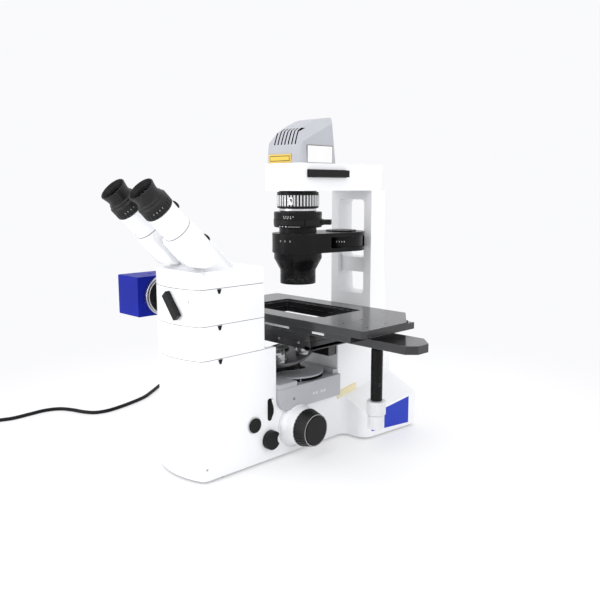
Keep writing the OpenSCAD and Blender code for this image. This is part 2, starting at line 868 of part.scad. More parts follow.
// Side view of the lamp housing: its front leans back and its top is crowned
module lamp_side(inset = 0) {
    front_arc = 124;
    top_arc = 156;
    intersection() {
        translate([-lamp_front - 10, arm_top - inset])
            square([lamp_front + lamp_back + 20, lamp_h + 10]);
        translate([front_arc - lamp_front, arm_top]) circle(front_arc - inset, $fn = 200);
        translate([lamp_back + 5, arm_top + lamp_h - top_arc]) circle(top_arc - inset, $fn = 200);
    }
}

// The lamp housing's outer or inner form
module lamp_form(inset = 0) {
    w = lamp_half_w - inset;
    difference() {
        intersection() {
            side_extrude(-w - 5, w + 5) lamp_side(inset);
            translate([0, 0, arm_top - 5]) linear_extrude(lamp_h + 10)
                round_rect(-w, w, inset - lamp_front - 2, lamp_back - inset, 10 - inset);
        }
        // long bevels along both upper edges, rising to the back
        both_sides() translate([w, 8 - lamp_front, arm_top + lamp_h - 42 - inset / 2])
            rotate([23, 0, 0]) rotate([0, 43, 0]) translate([-big / 2, -big / 2, 0]) cube([big, big, big]);
    }
}

module lamp_housing() {
    wall = 2.5;
    pitch = 8.4;
    color(grey) difference() {
        lamp_form();
        lamp_form(wall);
        // vent slots in the leaning front
        for (i = [0:vent_n - 1]) translate([(i - (vent_n - 1) / 2) * pitch - vent_w / 2, -lamp_front - 10, arm_top + 30])
            cube([vent_w, 40, 27]);
    }
}

module lamp_board() {
    color(silver) {
        translate([0, 6, arm_top]) linear_extrude(3) difference() {
            square([64, 66], center = true);
            translate([0, -6]) circle(12);
        }
        for (i = [-4:4]) translate([i * 6.5 - 1, 12, arm_top + 3]) cube([2, 22, 34]);
        translate([0, 0, arm_top + 3]) difference() {
            cylinder(r = 18, h = 20);
            translate([0, 0, -1]) cylinder(r = 12, h = 16);
        }
    }
}

module field_ring() {
    color(silver) translate([0, 0, field_low]) difference() {
        union() {
            cylinder(r = field_ring_r - 1.5, h = field_ring_h);
            translate([0, 0, 3]) cylinder(r = field_ring_r, h = field_ring_h - 6);
        }
        translate([0, 0, -1]) cylinder(r = neck_r - 4 + shaft_play, h = field_ring_h + 2);
        for (i = [0:flute_n - 1]) rotate([0, 0, i * 360 / flute_n])
            translate([field_ring_r + 0.6, 0, 3 - eps]) cylinder(r = 1.4, h = field_ring_h - 6 + 2 * eps, $fn = 16);
    }
}

aperture_z = drum_low + 4;
aperture_h = 9;

// The condenser's fixed stack, from the arm down to the lower barrel
module condenser_body() {
    taper_low = condenser_low + 23;
    taper_top = taper_low + 20;
    color(black) difference() {
        union() {
            rotate_extrude() polygon([[18, taper_low], [18, arm_low], [shaft_r + 8, arm_low],
                [shaft_r + 8, field_low + field_ring_h + run_gap], [neck_r - 4, field_low + field_ring_h + run_gap],
                [neck_r - 4, field_low - run_gap], [neck_r, field_low - run_gap], [neck_r, neck_low],
                [drum_r - 1, neck_low], [drum_r, neck_low - 1], [drum_r, aperture_z + aperture_h],
                [drum_r - 6, aperture_z + aperture_h], [drum_r - 6, aperture_z],
                [drum_r, aperture_z], [drum_r, drum_low + 1], [drum_r - 1, drum_low],
                [neck_r + 2, drum_low], [neck_r + 2, turret_top], [neck_r + 2, turret_low],
                [drum_r, turret_low], [drum_r, taper_top], [lens_barrel_r, taper_low]]);
            difference() {
                translate([0, 0, turret_low]) linear_extrude(turret_h) turret_outline();
                // round recess and thumb window of the contrast turret
                translate([contrast_x, contrast_y, turret_low + 7]) cylinder(r = contrast_r - 3 + run_gap, h = turret_h - 14);
                translate([contrast_x + 8, contrast_y - 60, turret_low + 7]) cube([80, 90, turret_h - 14]);
            }
            difference() {
                translate([0, 0, condenser_low]) cylinder(r = lens_barrel_r, h = 23 + eps);
                translate([0, 0, condenser_low - 1]) cylinder(r = lens_barrel_r - 4, h = 13);
            }
        }
        translate([0, 0, condenser_low - 2]) cylinder(r = 18, h = arm_low - condenser_low + 4);
        translate([contrast_x, contrast_y, turret_low - 1]) cylinder(r = 5 + shaft_play, h = turret_h + 2);
        // grip lines on the lower barrel
        for (z = [6, 9, 12]) translate([0, 0, condenser_low + z]) difference() {
            cylinder(r = lens_barrel_r + 1, h = 0.8);
            translate([0, 0, -1]) cylinder(r = lens_barrel_r - 0.6, h = 3);
        }
    }
}

// Plan of the turret housing: two round ends and the straight sides that join them
module turret_outline() {
    d = norm([contrast_x, contrast_y]);
    turn = atan2(contrast_y, contrast_x);
    lean = asin((turret_r - contrast_r) / d);
    circle(turret_r);
    translate([contrast_x, contrast_y]) circle(contrast_r);
    rotate(turn) polygon([[turret_r * sin(lean), turret_r * cos(lean)],
        [d + contrast_r * sin(lean), contrast_r * cos(lean)],
        [d + contrast_r * sin(lean), -contrast_r * cos(lean)],
        [turret_r * sin(lean), -turret_r * cos(lean)]]);
}

module condenser_lens() {
    r = lens_barrel_r - 4 - shaft_play;
    color("lightblue", 0.5) translate([0, 0, condenser_low + 12]) rotate([180, 0, 0]) domed_disc(r, 3, 60);
}

module aperture_lever() {
    color(black) difference() {
        union() {
            translate([0, 0, aperture_z + run_gap]) cylinder(r = drum_r + 0.5, h = aperture_h - 2 * run_gap);
            rotate([0, 0, 38]) box(20, drum_r + aperture_lever_l, -11, 11, aperture_z + run_gap,
                aperture_z + aperture_h - run_gap);
        }
        translate([0, 0, aperture_z - 1]) cylinder(r = drum_r - 6 + shaft_play, h = aperture_h + 2);
    }
}

module contrast_turret() {
    color(black) translate([contrast_x, contrast_y, 0]) {
        translate([0, 0, turret_low + 7 + run_gap]) difference() {
            cylinder(r = contrast_r - 3, h = turret_h - 14 - 2 * run_gap);
            for (i = [0:47]) rotate([0, 0, i * 7.5]) translate([contrast_r - 2.6, -0.5, -1]) cube([2, 1, turret_h]);
            for (i = [0:2]) rotate([0, 0, 60 + i * 120]) translate([20, 0, -1]) cylinder(r = 11, h = turret_h);
        }
        translate([0, 0, turret_low + 1]) cylinder(r = 5, h = turret_h + 1);
        translate([0, 0, turret_top + run_gap]) cylinder(r = 27, h = 2);
    }
}

carrier_front = frame_front + 2;
nose_open_half_w = 56;
guide_x = 77;
guide_half_w = 7;

module stage_carrier() {
    color(black) difference() {
        union() {
            box(-carrier_half_w, carrier_half_w, carrier_front, 30, carrier_low, carrier_top);
            box(-50, 50, 29, pillar_front - 14, rear_top, carrier_top);
            both_sides() box(carrier_half_w - 7, carrier_half_w, carrier_front, 24, carrier_low - 6, carrier_low + 1);
            box(-body_half_w + 3, body_half_w - 3, 21, rear_front - run_gap, carrier_low - 36, carrier_low + 1);
            // two guides that the cross slide runs along
            both_sides() box(guide_x - guide_half_w, guide_x + guide_half_w, carrier_front + 2, 24, carrier_top - 1,
                frame_low - run_gap);
        }
        box(-nose_open_half_w, nose_open_half_w, carrier_front + 6, 20, carrier_low - 1, carrier_top + 1);
    }
}

stage_mid = stage_shift;

module cross_slide() {
    runner_in = guide_x - guide_half_w - run_gap - 10;
    color(black) difference() {
        union() {
            box(-stage_left + 8, 182, frame_front, frame_back, frame_low, frame_top);
            // guide bar to the right, with cut corners
            translate([0, 0, bar_low_z]) linear_extrude(bar_t + 1) polygon([[104, -bar_half_w], [bar_right - 14, -bar_half_w],
                [bar_right, -bar_half_w + 14], [bar_right, 8], [bar_right - 26, bar_half_w + 2], [104, bar_half_w + 2]]);
            both_sides() box(runner_in, runner_in + 10, -22, 50, bar_low_z, frame_low + 1);
            // rails for the top plate
            for (y = [frame_front + 6, frame_back - 12]) box(-stage_left + 16, 174, y, y + 6, frame_top - 1, frame_top + 3);
        }
        box(-opening_w / 2 - 2, opening_w / 2 + 2, stage_mid - opening_d / 2 - 2, stage_mid + opening_d / 2 + 2,
            bar_low_z - 1, frame_top + 5);
        translate([drive_x, drive_y, bar_low_z - 1]) cylinder(r = 4 + shaft_play, h = 9);
    }
}

module top_plate() {
    z0 = stage_top - top_plate_t;
    rail_gap = run_gap;
    color(black) difference() {
        translate([0, 0, z0]) linear_extrude(top_plate_t) difference() {
            round_rect(-stage_left, stage_right, stage_front, stage_back, 8);
            polygon([[stage_right - stage_cut, stage_back + 1], [stage_right + 1, stage_back + 1],
                [stage_right + 1, stage_back - 1.3 * stage_cut]]);
        }
        translate([0, 0, z0 - 1]) linear_extrude(top_plate_t + 2)
            round_rect(-opening_w / 2, opening_w / 2, stage_mid - opening_d / 2, stage_mid + opening_d / 2, 4);
        translate([0, 0, stage_top - rebate_t]) linear_extrude(rebate_t + 1)
            round_rect(-opening_w / 2 - rebate_w, opening_w / 2 + rebate_w, stage_mid - opening_d / 2 - rebate_w,
                stage_mid + opening_d / 2 + rebate_w, 5);
        for (y = [frame_front + 6, frame_back - 12])
            box(-big, big, y - rail_gap, y + 6 + rail_gap, z0 - 1, frame_top + 3 + rail_gap);
        // tapped holes for holders
        for (x = hold_x, y = hold_y) translate([x, y, z0 - 1]) cylinder(r = 2.1, h = top_plate_t + 2);
    }
}

hold_x = [148, 196];
hold_y = [-48, -4];

module stage_drive_sleeve() {
    color(black) translate([drive_x, drive_y, 0]) difference() {
        union() {
            translate([0, 0, bar_low_z - 8]) cylinder(r = 5.5, h = 8);
            translate([0, 0, bar_low_z - 10]) cylinder(r = 4, h = 17);
            translate([0, 0, bar_low_z - 12]) cylinder(r1 = drive_r, r2 = 6.5, h = 4);
            translate([0, 0, drive_low + 2 * drive_knob_h + 1]) cylinder(r = drive_r, h = bar_low_z - 13 - drive_low - 2 * drive_knob_h);
            translate([0, 0, drive_low + 2]) cylinder(r = 3, h = 60);
        }
        for (z = [26, 29, 32]) translate([0, 0, drive_low + 2 * drive_knob_h + z]) difference() {
            cylinder(r = drive_r + 1, h = 1);
            translate([0, 0, -1]) cylinder(r = drive_r - 0.7, h = 3);
        }
    }
}

// One fluted drive knob around the sleeve's spindle
module drive_knob(r, z) {
    flutes = 20;
    color([0.86, 0.86, 0.86]) translate([drive_x, drive_y, z]) difference() {
        union() {
            translate([0, 0, 1]) cylinder(r = r, h = drive_knob_h - 2 - run_gap);
            cylinder(r1 = r - 1, r2 = r, h = 1);
            translate([0, 0, drive_knob_h - 1 - run_gap]) cylinder(r1 = r, r2 = r - 1, h = 1);
        }
        translate([0, 0, -1]) cylinder(r = 3 + shaft_play, h = drive_knob_h + 2);
        for (i = [0:flutes - 1]) rotate([0, 0, i * 360 / flutes])
            translate([r + 0.9, 0, 3]) cylinder(r = 1.5, h = drive_knob_h - 9, $fn = 16);
    }
}

module upper_drive_knob() {
    drive_knob(upper_knob_r, drive_low + drive_knob_h + run_gap);
}

module lower_drive_knob() {
    drive_knob(lower_knob_r, drive_low + run_gap);
}

arm_z0 = cavity_low + 4;

module focus_rail() {
    color(silver) box(-rail_half_w, rail_half_w, -column_back - cavity_depth, -column_back - cavity_depth + rail_depth,
        cavity_low + 2, column_top - 3);
}

module nosepiece_bracket() {
    rail_y = -column_back - cavity_depth + rail_depth + run_gap;
    color(black) {
        difference() {
            union() {
                box(-24, 24, rail_y, rail_y + 9, arm_z0, arm_z0 + 28);
                both_sides() box(rail_half_w + run_gap, 24, rail_y - 6, rail_y + 1, arm_z0 + 2, arm_z0 + 28);
                box(-16, 16, rail_y + 8, -34, arm_z0, arm_z0 + 6.5);
                intersection() {
                    nose_frame() translate([0, 0, -disc_depth - run_gap - 30]) cylinder(r = 24, h = 30);
                    box(-big, big, -big, -12, arm_z0, big);
                }
            }
            // the arm stays under the nosepiece's sloping underside
            nose_frame() translate([0, 0, -disc_depth - run_gap]) cylinder(r = grip_r + 1, h = 60);
        }
        nose_frame() {
            translate([0, 0, -disc_depth - 4]) cylinder(r = pivot_r, h = disc_depth + 4 + 6.5);
            translate([0, 0, 4 + run_gap]) cylinder(r = pivot_r + 4, h = 3);
        }
    }
}

// Profile of the nosepiece disc: seats square to the objectives' axes
module nosepiece_disc() {
    slope = tan(nose_tilt);
    hub_r = seat_circle_r - thread_r - 4;
    color(silver) nose_frame() difference() {
        rotate_extrude() polygon([[0, -disc_depth], [grip_r - 2, -disc_depth], [grip_r, -disc_depth + 1.5],
            [grip_r, -(grip_r - seat_circle_r) * slope - 1], [grip_r - 1, -(grip_r - 1 - seat_circle_r) * slope],
            [hub_r, (seat_circle_r - hub_r) * slope], [hub_r - 4, 4], [0, 4]]);
        cylinder(r = pivot_r + shaft_play, h = 100, center = true);
        for (i = [0:seat_n - 1]) rotate([0, 0, -i * seat_angle]) translate([0, seat_circle_r, 0])
            rotate([-nose_tilt, 0, 0]) cylinder(r = thread_r, h = 40, center = true);
        // grip grooves around the rim
        for (i = [0:59]) rotate([0, 0, i * 6]) translate([grip_r - 0.6, -0.7, -disc_depth + 2.1]) cube([2, 1.4, 2.2]);
    }
}

// Turned forms of the objectives, radius and height pairs as shares of their length
module long_objective() {
    rotate_extrude() polygon([[0, -4], [thread_r - 0.08, -4], [thread_r - 0.08, 0], [objective_r, 0], [objective_r, 4],
        [objective_r - 1, 5], [objective_r - 1, objective_l * 0.6], [7, objective_l * 0.86], [5.5, objective_l],
        [3, objective_l], [3, objective_l - 1], [0, objective_l - 1]]);
}

module short_objective() {
    rotate_extrude() polygon([[0, -4], [thread_r - 0.08, -4], [thread_r - 0.08, 0], [objective_r, 0], [objective_r, 5],
        [objective_r - 0.8, 5.6], [objective_r - 0.8, 6.4], [objective_r, 7], [objective_r, objective_l * 0.62],
        [objective_r - 2.5, objective_l * 0.78], [6.5, objective_l * 0.8], [6.5, objective_l * 0.76], [0, objective_l * 0.76]]);
}

module slim_objective() {
    rotate_extrude() polygon([[0, -4], [thread_r - 0.08, -4], [thread_r - 0.08, 0], [objective_r - 1, 0],
        [objective_r - 1, 5], [9, 6], [9, objective_l * 0.7], [6, objective_l * 0.9], [4.5, objective_l * 0.96],
        [0, objective_l * 0.96]]);
}

module seat_plug() {
    rotate_extrude() polygon([[0, -4], [thread_r - 0.08, -4], [thread_r - 0.08, 0], [objective_r - 1, 0],
        [objective_r - 1, 6], [objective_r - 2, 7], [0, 7]]);
}

// Places a piece on one seat, counted to the right from the seat in use
module on_seat(i) {
    nose_frame() rotate([0, 0, -i * seat_angle]) translate([0, seat_circle_r, 0]) rotate([-nose_tilt, 0, 0]) children();
}

module objectives() {
    color(black) on_seat(0) long_objective();
    color(silver) on_seat(1) slim_objective();
    color(silver) on_seat(2) short_objective();
    color(black) on_seat(3) seat_plug();
}

reflector_right = body_half_w + reflector_proud;

module reflector_housing() {
    color(grey) difference() {
        union() {
            intersection() {
                side_extrude(-body_half_w - 2, reflector_right) bay_profile(0.2);
                box(-big, big, -big, big, 0, shelf_h);
            }
        }
        difference() {
            translate([0, -wheel_offset, bay_floor + tray_floor]) cylinder(r = 53, h = 60);
            translate([0, -wheel_offset, 0]) cylinder(r = 9, h = shelf_h);
        }
        cylinder(r = 9.5, h = 200);
    }
    color(grey) translate([0, -wheel_offset, bay_floor + tray_floor])
        cylinder(r = 5, h = deck_low - bay_floor - tray_floor);
}

module reflector_deck() {
    left = -body_half_w - 2;
    color(grey) difference() {
        union() {
            translate([0, -wheel_offset, shelf_h]) cylinder(r = wheel_r + 1.5, h = deck_top - shelf_h);
            box(left, 20, 0.2 - column_back, rear_front - 0.2, shelf_h, deck_top);
            box(left, reflector_right, 0.2 - column_back, -wheel_offset - wheel_r + 12, shelf_h, deck_top);
            box(left, body_half_w, rear_front - 12, rear_front - 0.2, shelf_h, deck_top);
        }
        box(-big, big, rear_front - 0.2, big, 0, big);
        translate([0, -wheel_offset, shelf_h - 1]) cylinder(r = wheel_r + run_gap, h = deck_low - shelf_h + 1);
        // window that bares the wheel's rim at the right front
        intersection() {
            translate([0, -wheel_offset, shelf_h - 1]) cylinder(r = big, h = deck_low - shelf_h + 1);
            box(24, big, -wheel_offset - wheel_r + 12, rear_front - 12, shelf_h - 1, deck_low);
        }
        cylinder(r = 14, h = 200);
    }
}

module reflector_wheel() {
    color(black) translate([0, -wheel_offset, wheel_low]) difference() {
        cylinder(r = wheel_r, h = wheel_t);
        translate([0, 0, -1]) cylinder(r = 5 + shaft_play, h = wheel_t + 2);
        for (i = [0:3]) rotate([0, 0, i * 90]) translate([0, wheel_offset, -1]) cylinder(r = 7, h = wheel_t + 2);
        for (i = [0:71]) rotate([0, 0, i * 5]) translate([wheel_r - 0.6, -0.6, 0.7]) cube([2, 1.2, wheel_t - 1.4]);
    }
}

module filter_cubes() {
    color(black) for (i = [0:3]) translate([0, -wheel_offset, 0]) rotate([0, 0, i * 90])
        translate([0, wheel_offset, wheel_low - cube_h]) difference() {
            translate([-cube_w / 2, -cube_w / 2, 0]) cube([cube_w, cube_w, cube_h]);
            translate([0, 0, -1]) cylinder(r = 6.5, h = cube_h + 2);
            translate([0, 0, cube_h / 2]) rotate([-90, 0, 0]) cylinder(r = 6, h = cube_w);
        }
}

module focus_bosses() {
    color(white) difference() {
        both_sides() translate([body_half_w, -focus_y, focus_z]) rotate([0, 90, 0]) difference() {
            union() {
                cylinder(r = boss_r, h = 3);
                translate([0, 0, 3]) cylinder(r1 = boss_r, r2 = coarse_r + 0.5, h = 9);
                translate([0, 0, 12]) cylinder(r = coarse_r + 0.5, h = boss_l - 12);
            }
            translate([0, 0, -1]) cylinder(r = coarse_shaft_r + shaft_play, h = boss_l + 2);
        }
        // the housing above overhangs the boss's foot
        side_extrude(-reflector_right - run_gap, reflector_right + run_gap) bay_profile();
    }
}

// The coarse drive: a tube through the body with a grooved knob at each end
module coarse_focus() {
    color(black) translate([0, -focus_y, focus_z]) difference() {
        union() {
            rotate([0, 90, 0]) cylinder(r = coarse_shaft_r, h = 2 * knob_back + 4, center = true);
            both_sides() translate([knob_back, 0, 0]) rotate([0, 90, 0]) difference() {
                cylinder(r1 = coarse_r, r2 = coarse_face_r, h = coarse_l);
                // recess for the fine knob
                translate([0, 0, coarse_l - fine_l + 1]) cylinder(r = fine_r + run_gap, h = fine_l);
                for (i = [0:coarse_grooves - 1]) rotate([0, 0, i * 360 / coarse_grooves])
                    translate([coarse_r, 0, -1]) rotate([0, -atan((coarse_r - coarse_face_r) / coarse_l), 0])
                        translate([-0.8, -1.1, 0]) cube([4, 2.2, coarse_l - 2]);
            }
        }
        rotate([0, 90, 0]) cylinder(r = fine_shaft_r + shaft_play, h = big, center = true);
    }
}

module fine_focus() {
    fine_back = knob_back + coarse_l - fine_l + 1 + run_gap;
    color(black) translate([0, -focus_y, focus_z]) {
        rotate([0, 90, 0]) cylinder(r = fine_shaft_r, h = 2 * fine_back + 1, center = true);
        both_sides() translate([fine_back, 0, 0]) rotate([0, 90, 0]) {
            cylinder(r = fine_r, h = fine_l - 1);
            translate([0, 0, fine_l - 1]) cylinder(r1 = fine_r, r2 = fine_r - 1, h = 1);
        }
    }
}

module power_button() {
    color(black) translate([body_half_w - 5.5, button_y, button_z]) rotate([0, 90, 0]) {
        cylinder(r = button_r, h = 8);
        translate([0, 0, 8]) cylinder(r1 = button_r, r2 = button_r - 1.2, h = 1);
    }
}

module intensity_wheel() {
    color(black) translate([dial_x, dial_y, dial_z]) rotate([-90, 0, 0]) {
        difference() {
            translate([0, 0, -dial_t / 2]) cylinder(r = dial_r, h = dial_t);
            for (i = [0:35]) rotate([0, 0, i * 10]) translate([dial_r - 0.7, -0.7, -dial_t]) cube([2, 1.4, 2 * dial_t]);
        }
        translate([0, 0, -dial_t + run_gap]) cylinder(r = 2.4, h = 2 * dial_t - 2 * run_gap);
    }
}

module light_path_knob() {
    color(black) translate([body_half_w + run_gap, pointer_y, pointer_z]) rotate([0, 90, 0]) {
        translate([0, 0, -11]) cylinder(r = 4, h = 12);
        cylinder(r = pointer_r, h = 6);
        difference() {
            translate([0, 0, 6]) cylinder(r1 = pointer_r, r2 = pointer_r - 2, h = 5);
            for (s = [-1, 1]) translate([-20, s > 0 ? 4 : -24, 7]) cube([40, 20, 10]);
        }
    }
}

// Centre of the plug behind the coil, and route of the cord on the table
cord_r = cord_d / 2;
lead_y = body_back + 3.5;
cord_route = [[inlet_x, 228, 34], [inlet_x, 240, 34], [-86, 252, 31], [-92, 264, 22], [-104, 276, 10], [-122, 284, cord_r],
    [-150, 286, cord_r], [-185, 276, cord_r], [-225, 250, cord_r], [-265, 215, cord_r], [-310, 175, cord_r],
    [-355, 138, cord_r], [-400, 98, cord_r], [-430, 62, cord_r], [-443, 40, cord_r], [-445, 21, cord_r],
    [-434, -2, cord_r], [-409, -36, cord_r], [-382, -76, cord_r], [-364, -126, cord_r], [-355, -168, cord_r],
    [-356, -187, cord_r], [-363, -202, cord_r], [-382, -214, cord_r], [-410, -224, cord_r], [-433, -239, cord_r],
    [-443, -264, cord_r], [-442, -290, cord_r], [-440, -328, cord_r], [-447, -352, cord_r], [-450, -376, cord_r],
    [-450.3, -400, cord_r], [-450.3, -412, cord_r]];
coil_x = -492.3;
coil_y = -420;
coil_r = 42;
tail_route = [[-496, -462, 18], [-502, -462, 17.5], [-512, -462.3, 15], [-522, -464, 11.5], [-532, -468, 8.5],
    [-541, -476, 8], [-548, -487, 10], [-551.5, -500, 14], [-552, -514, 17]];

// Unit vector along a list of points at one of them
function way(p, i) = let (d = p[min(i + 1, len(p) - 1)] - p[max(i - 1, 0)]) d / norm(d);

// Ring of a tube's points around one point of its route
function ring(p, i, r, n) = let (t = way(p, i), s = cross(t, [0, 0, 1]) / norm(cross(t, [0, 0, 1])), u = cross(s, t))
    [for (k = [0:n - 1]) p[i] + r * (cos(k * 360 / n) * s + sin(k * 360 / n) * u)];

// Closed tube along a route
module tube(p, r, n) {
    last = len(p) - 1;
    polyhedron([for (i = [0:last]) each ring(p, i, r, n)], concat([[for (k = [0:n - 1]) n - 1 - k]],
        [for (i = [0:last - 1], k = [0:n - 1]) [i * n + k, i * n + (k + 1) % n, (i + 1) * n + (k + 1) % n, (i + 1) * n + k]],
        [[for (k = [0:n - 1]) last * n + k]]));
}

module cord() {
    color(black) {
        tube(cord_route, cord_r, 10);
        tube(tail_route, cord_r, 10);
    }
}

// The rest of the cord, coiled flat in two layers
module cord_coil() {
    color(black) translate([coil_x, coil_y, 0]) for (layer = [0, 1], turn = [0, 1])
        translate([0, 0, cord_r + layer * (cord_d + 0.1)]) rotate_extrude()
            translate([coil_r - turn * (cord_d + 0.2), 0]) circle(cord_r, $fn = 12);
}

// The connector in the inlet and the plug at the cord's other end
module cord_plugs() {
    mains_plug();
    wall_plug();
}

module wall_plug() {
    color(black) translate([-552, -514, 17]) rotate([90, 0, 0]) {
        cylinder(r1 = 5.5, r2 = 8, h = 12);
        translate([0, 0, 12]) cylinder(r1 = 12, r2 = 17, h = 10);
        translate([0, 0, 22]) cylinder(r = 17, h = 16);
        for (s = [-1, 1]) translate([s * 9.5, 0, 37]) cylinder(r = 2.4, h = 20);
    }
}

module mains_plug() {
    color(black) {
        box(inlet_x - 9.5, inlet_x + 9.5, body_back - 10, body_back + 3.5, inlet_z - 6, inlet_z + 6);
        box(inlet_x - 12, inlet_x + 12, lead_y, lead_y + 16, inlet_z - 9, inlet_z + 9);
        translate([inlet_x, lead_y + 16, inlet_z]) rotate([-90, 0, 0]) cylinder(r1 = 8, r2 = 4.5, h = 228 - lead_y - 16);
    }
}

stand_body();
base_plate();
feet();
side_panels();
rear_panel();
power_inlet();
lower_tube_module();
camera_port_module();
binocular_base();
module_clamps();
swing_spindle();
lamp_pillar();
lamp_arm();
lamp_housing();
lamp_board();
lamp_lenses();
condenser_body();
stage_carrier();
reflector_housing();
reflector_deck();
focus_bosses();
focus_rail();
camera_adapter();
camera_body();
right_prism_arm();
left_prism_arm();
right_tube_caps();
left_tube_caps();
right_eyepiece();
left_eyepiece();
right_eye_lens();
left_eye_lens();
right_dioptre_ring();
left_dioptre_ring();
right_eyecup();
left_eyecup();
port_lever();
filter_drawer();
drawer_filters();
field_ring();
aperture_lever();
contrast_turret();
cross_slide();
top_plate();
stage_drive_sleeve();
upper_drive_knob();
lower_drive_knob();
nosepiece_bracket();
nosepiece_disc();
objectives();
reflector_wheel();
filter_cubes();
coarse_focus();
fine_focus();
power_button();
intensity_wheel();
light_path_knob();
cord_plugs();
cord();
cord_coil();
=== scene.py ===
"""Looks of an inverted laboratory microscope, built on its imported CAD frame."""

import json
import math

import bmesh
import bpy
from mathutils import Matrix, Vector

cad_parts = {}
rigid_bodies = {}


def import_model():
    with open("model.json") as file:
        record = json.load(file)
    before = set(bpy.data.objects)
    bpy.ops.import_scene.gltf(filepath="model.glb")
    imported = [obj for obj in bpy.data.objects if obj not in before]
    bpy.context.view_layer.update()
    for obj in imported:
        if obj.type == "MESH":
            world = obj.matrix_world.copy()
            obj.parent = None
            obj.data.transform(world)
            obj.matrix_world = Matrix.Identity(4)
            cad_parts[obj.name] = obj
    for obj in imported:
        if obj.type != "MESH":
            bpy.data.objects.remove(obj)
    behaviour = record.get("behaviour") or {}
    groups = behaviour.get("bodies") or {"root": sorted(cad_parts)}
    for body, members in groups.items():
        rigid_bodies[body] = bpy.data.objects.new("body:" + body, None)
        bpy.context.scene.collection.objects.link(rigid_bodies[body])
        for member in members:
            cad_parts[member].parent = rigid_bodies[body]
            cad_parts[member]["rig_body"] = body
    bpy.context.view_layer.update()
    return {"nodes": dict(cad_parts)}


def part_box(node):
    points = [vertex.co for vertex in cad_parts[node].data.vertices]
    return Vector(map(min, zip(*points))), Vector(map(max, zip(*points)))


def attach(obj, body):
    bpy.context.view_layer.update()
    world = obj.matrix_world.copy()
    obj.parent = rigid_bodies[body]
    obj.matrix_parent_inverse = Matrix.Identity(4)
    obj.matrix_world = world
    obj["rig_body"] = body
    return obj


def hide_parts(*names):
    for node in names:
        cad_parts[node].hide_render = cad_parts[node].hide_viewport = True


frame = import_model()
nodes = frame["nodes"]
scene = bpy.context.scene
scene.view_settings.view_transform = "Standard"

# Places on the part that several pieces share, in millimetres
MM = 0.001
BODY_SIDE = 57
MODULE_FRONT = -258.3
HOUSING_SIDE = 64
FOCUS_YZ = (-63, 50)
BUTTON_YZ = (-153, 69)
LIGHT_PATH_YZ = (-121, 38)
INTENSITY_YZ = (-120, 87)
PORT_YZ = (-216, 266)
WHEEL_XY = (0, -20)
EYE_X = 36
EYE_YZ = (-331, 436)
LAMP_LOW = 477
LAMP_RISE = 76.5
APRON_FRONT = -69.9
SKIRT_FRONT = -68
STAGE_HALF_W = 96
LEAN = math.sqrt(0.5)


# Camera at the photograph's viewpoint
def add_camera():
    data = bpy.data.cameras.new("photo_camera")
    data.sensor_width = 36
    data.lens = 42.24
    camera = bpy.data.objects.new("photo_camera", data)
    camera.location = (0.858, -0.850, 0.438)
    camera.rotation_euler = (math.radians(80.89), 0, math.radians(45.1))
    scene.collection.objects.link(camera)
    scene.camera = camera


add_camera()


# Shader nodes with operators
class Wire:
    """One output of a material's node tree, with arithmetic on it."""

    def __init__(self, tree, socket):
        self.tree = tree
        self.socket = socket

    def node(self, kind, inputs=None, output=0, **settings):
        """The Wire of one output of a new node in the same tree, settings first and then sockets."""
        made = self.tree.nodes.new(kind)
        for key, value in settings.items():
            setattr(made, key, value)
        for key, value in (inputs or {}).items():
            feed(made.inputs[key], value)
        return Wire(self.tree, made.outputs[output])

    def maths(self, operation, first, second):
        return self.node("ShaderNodeMath", {0: first, 1: second}, operation=operation)

    def __add__(self, other):
        return self.maths("ADD", self, other)

    def __radd__(self, other):
        return self.maths("ADD", other, self)

    def __sub__(self, other):
        return self.maths("SUBTRACT", self, other)

    def __rsub__(self, other):
        return self.maths("SUBTRACT", other, self)

    def __mul__(self, other):
        return self.maths("MULTIPLY", self, other)

    def __rmul__(self, other):
        return self.maths("MULTIPLY", other, self)

    def at_least(self, other):
        return self.maths("MAXIMUM", self, other)

    def above(self, low, high):
        """0 below low, 1 above high, smooth between."""
        inputs = {0: self, 1: low, 2: high}
        return self.node("ShaderNodeMapRange", inputs, interpolation_type="SMOOTHSTEP")

    def blend(self, first, second):
        """first where this is 0, second where it is 1, as colours."""
        return self.node("ShaderNodeMix", {0: self, 6: first, 7: second}, output=2, data_type="RGBA")


def feed(socket, value):
    """Links a Wire to a socket, or sets the socket's own value."""
    if isinstance(value, Wire):
        value.tree.links.new(value.socket, socket)
    elif socket.type == "RGBA":
        socket.default_value = (*value, 1)
    else:
        socket.default_value = value


def new_material(name):
    """A material, its main shader, and the place of a point in the object's own frame."""
    made = bpy.data.materials.new(name)
    made.use_nodes = True
    tree = made.node_tree
    place = tree.nodes.new("ShaderNodeTexCoord").outputs["Object"]
    return made, tree.nodes["Principled BSDF"], Wire(tree, place)


def noise(place, scale, detail=3.0, rough=0.5):
    inputs = {"Vector": place, "Scale": scale, "Detail": detail, "Roughness": rough}
    return place.node("ShaderNodeTexNoise", inputs)


def rubbed_edges_and_glints(place):
    """1 in patches along edges, where the rounded normal leaves the face's own: rubbed wear and painted edge
    highlights.
    """
    radius = 0.0012
    face = place.node("ShaderNodeNewGeometry", output=1)
    rounded_off = place.node("ShaderNodeBevel", {"Radius": radius}, samples=4)
    along = place.node("ShaderNodeVectorMath", {0: face, 1: rounded_off}, output=1, operation="DOT_PRODUCT")
    patches = noise(place, 160.0, 4.0).above(0.42, 0.62)
    return (1 - along).above(0.02, 0.2) * patches


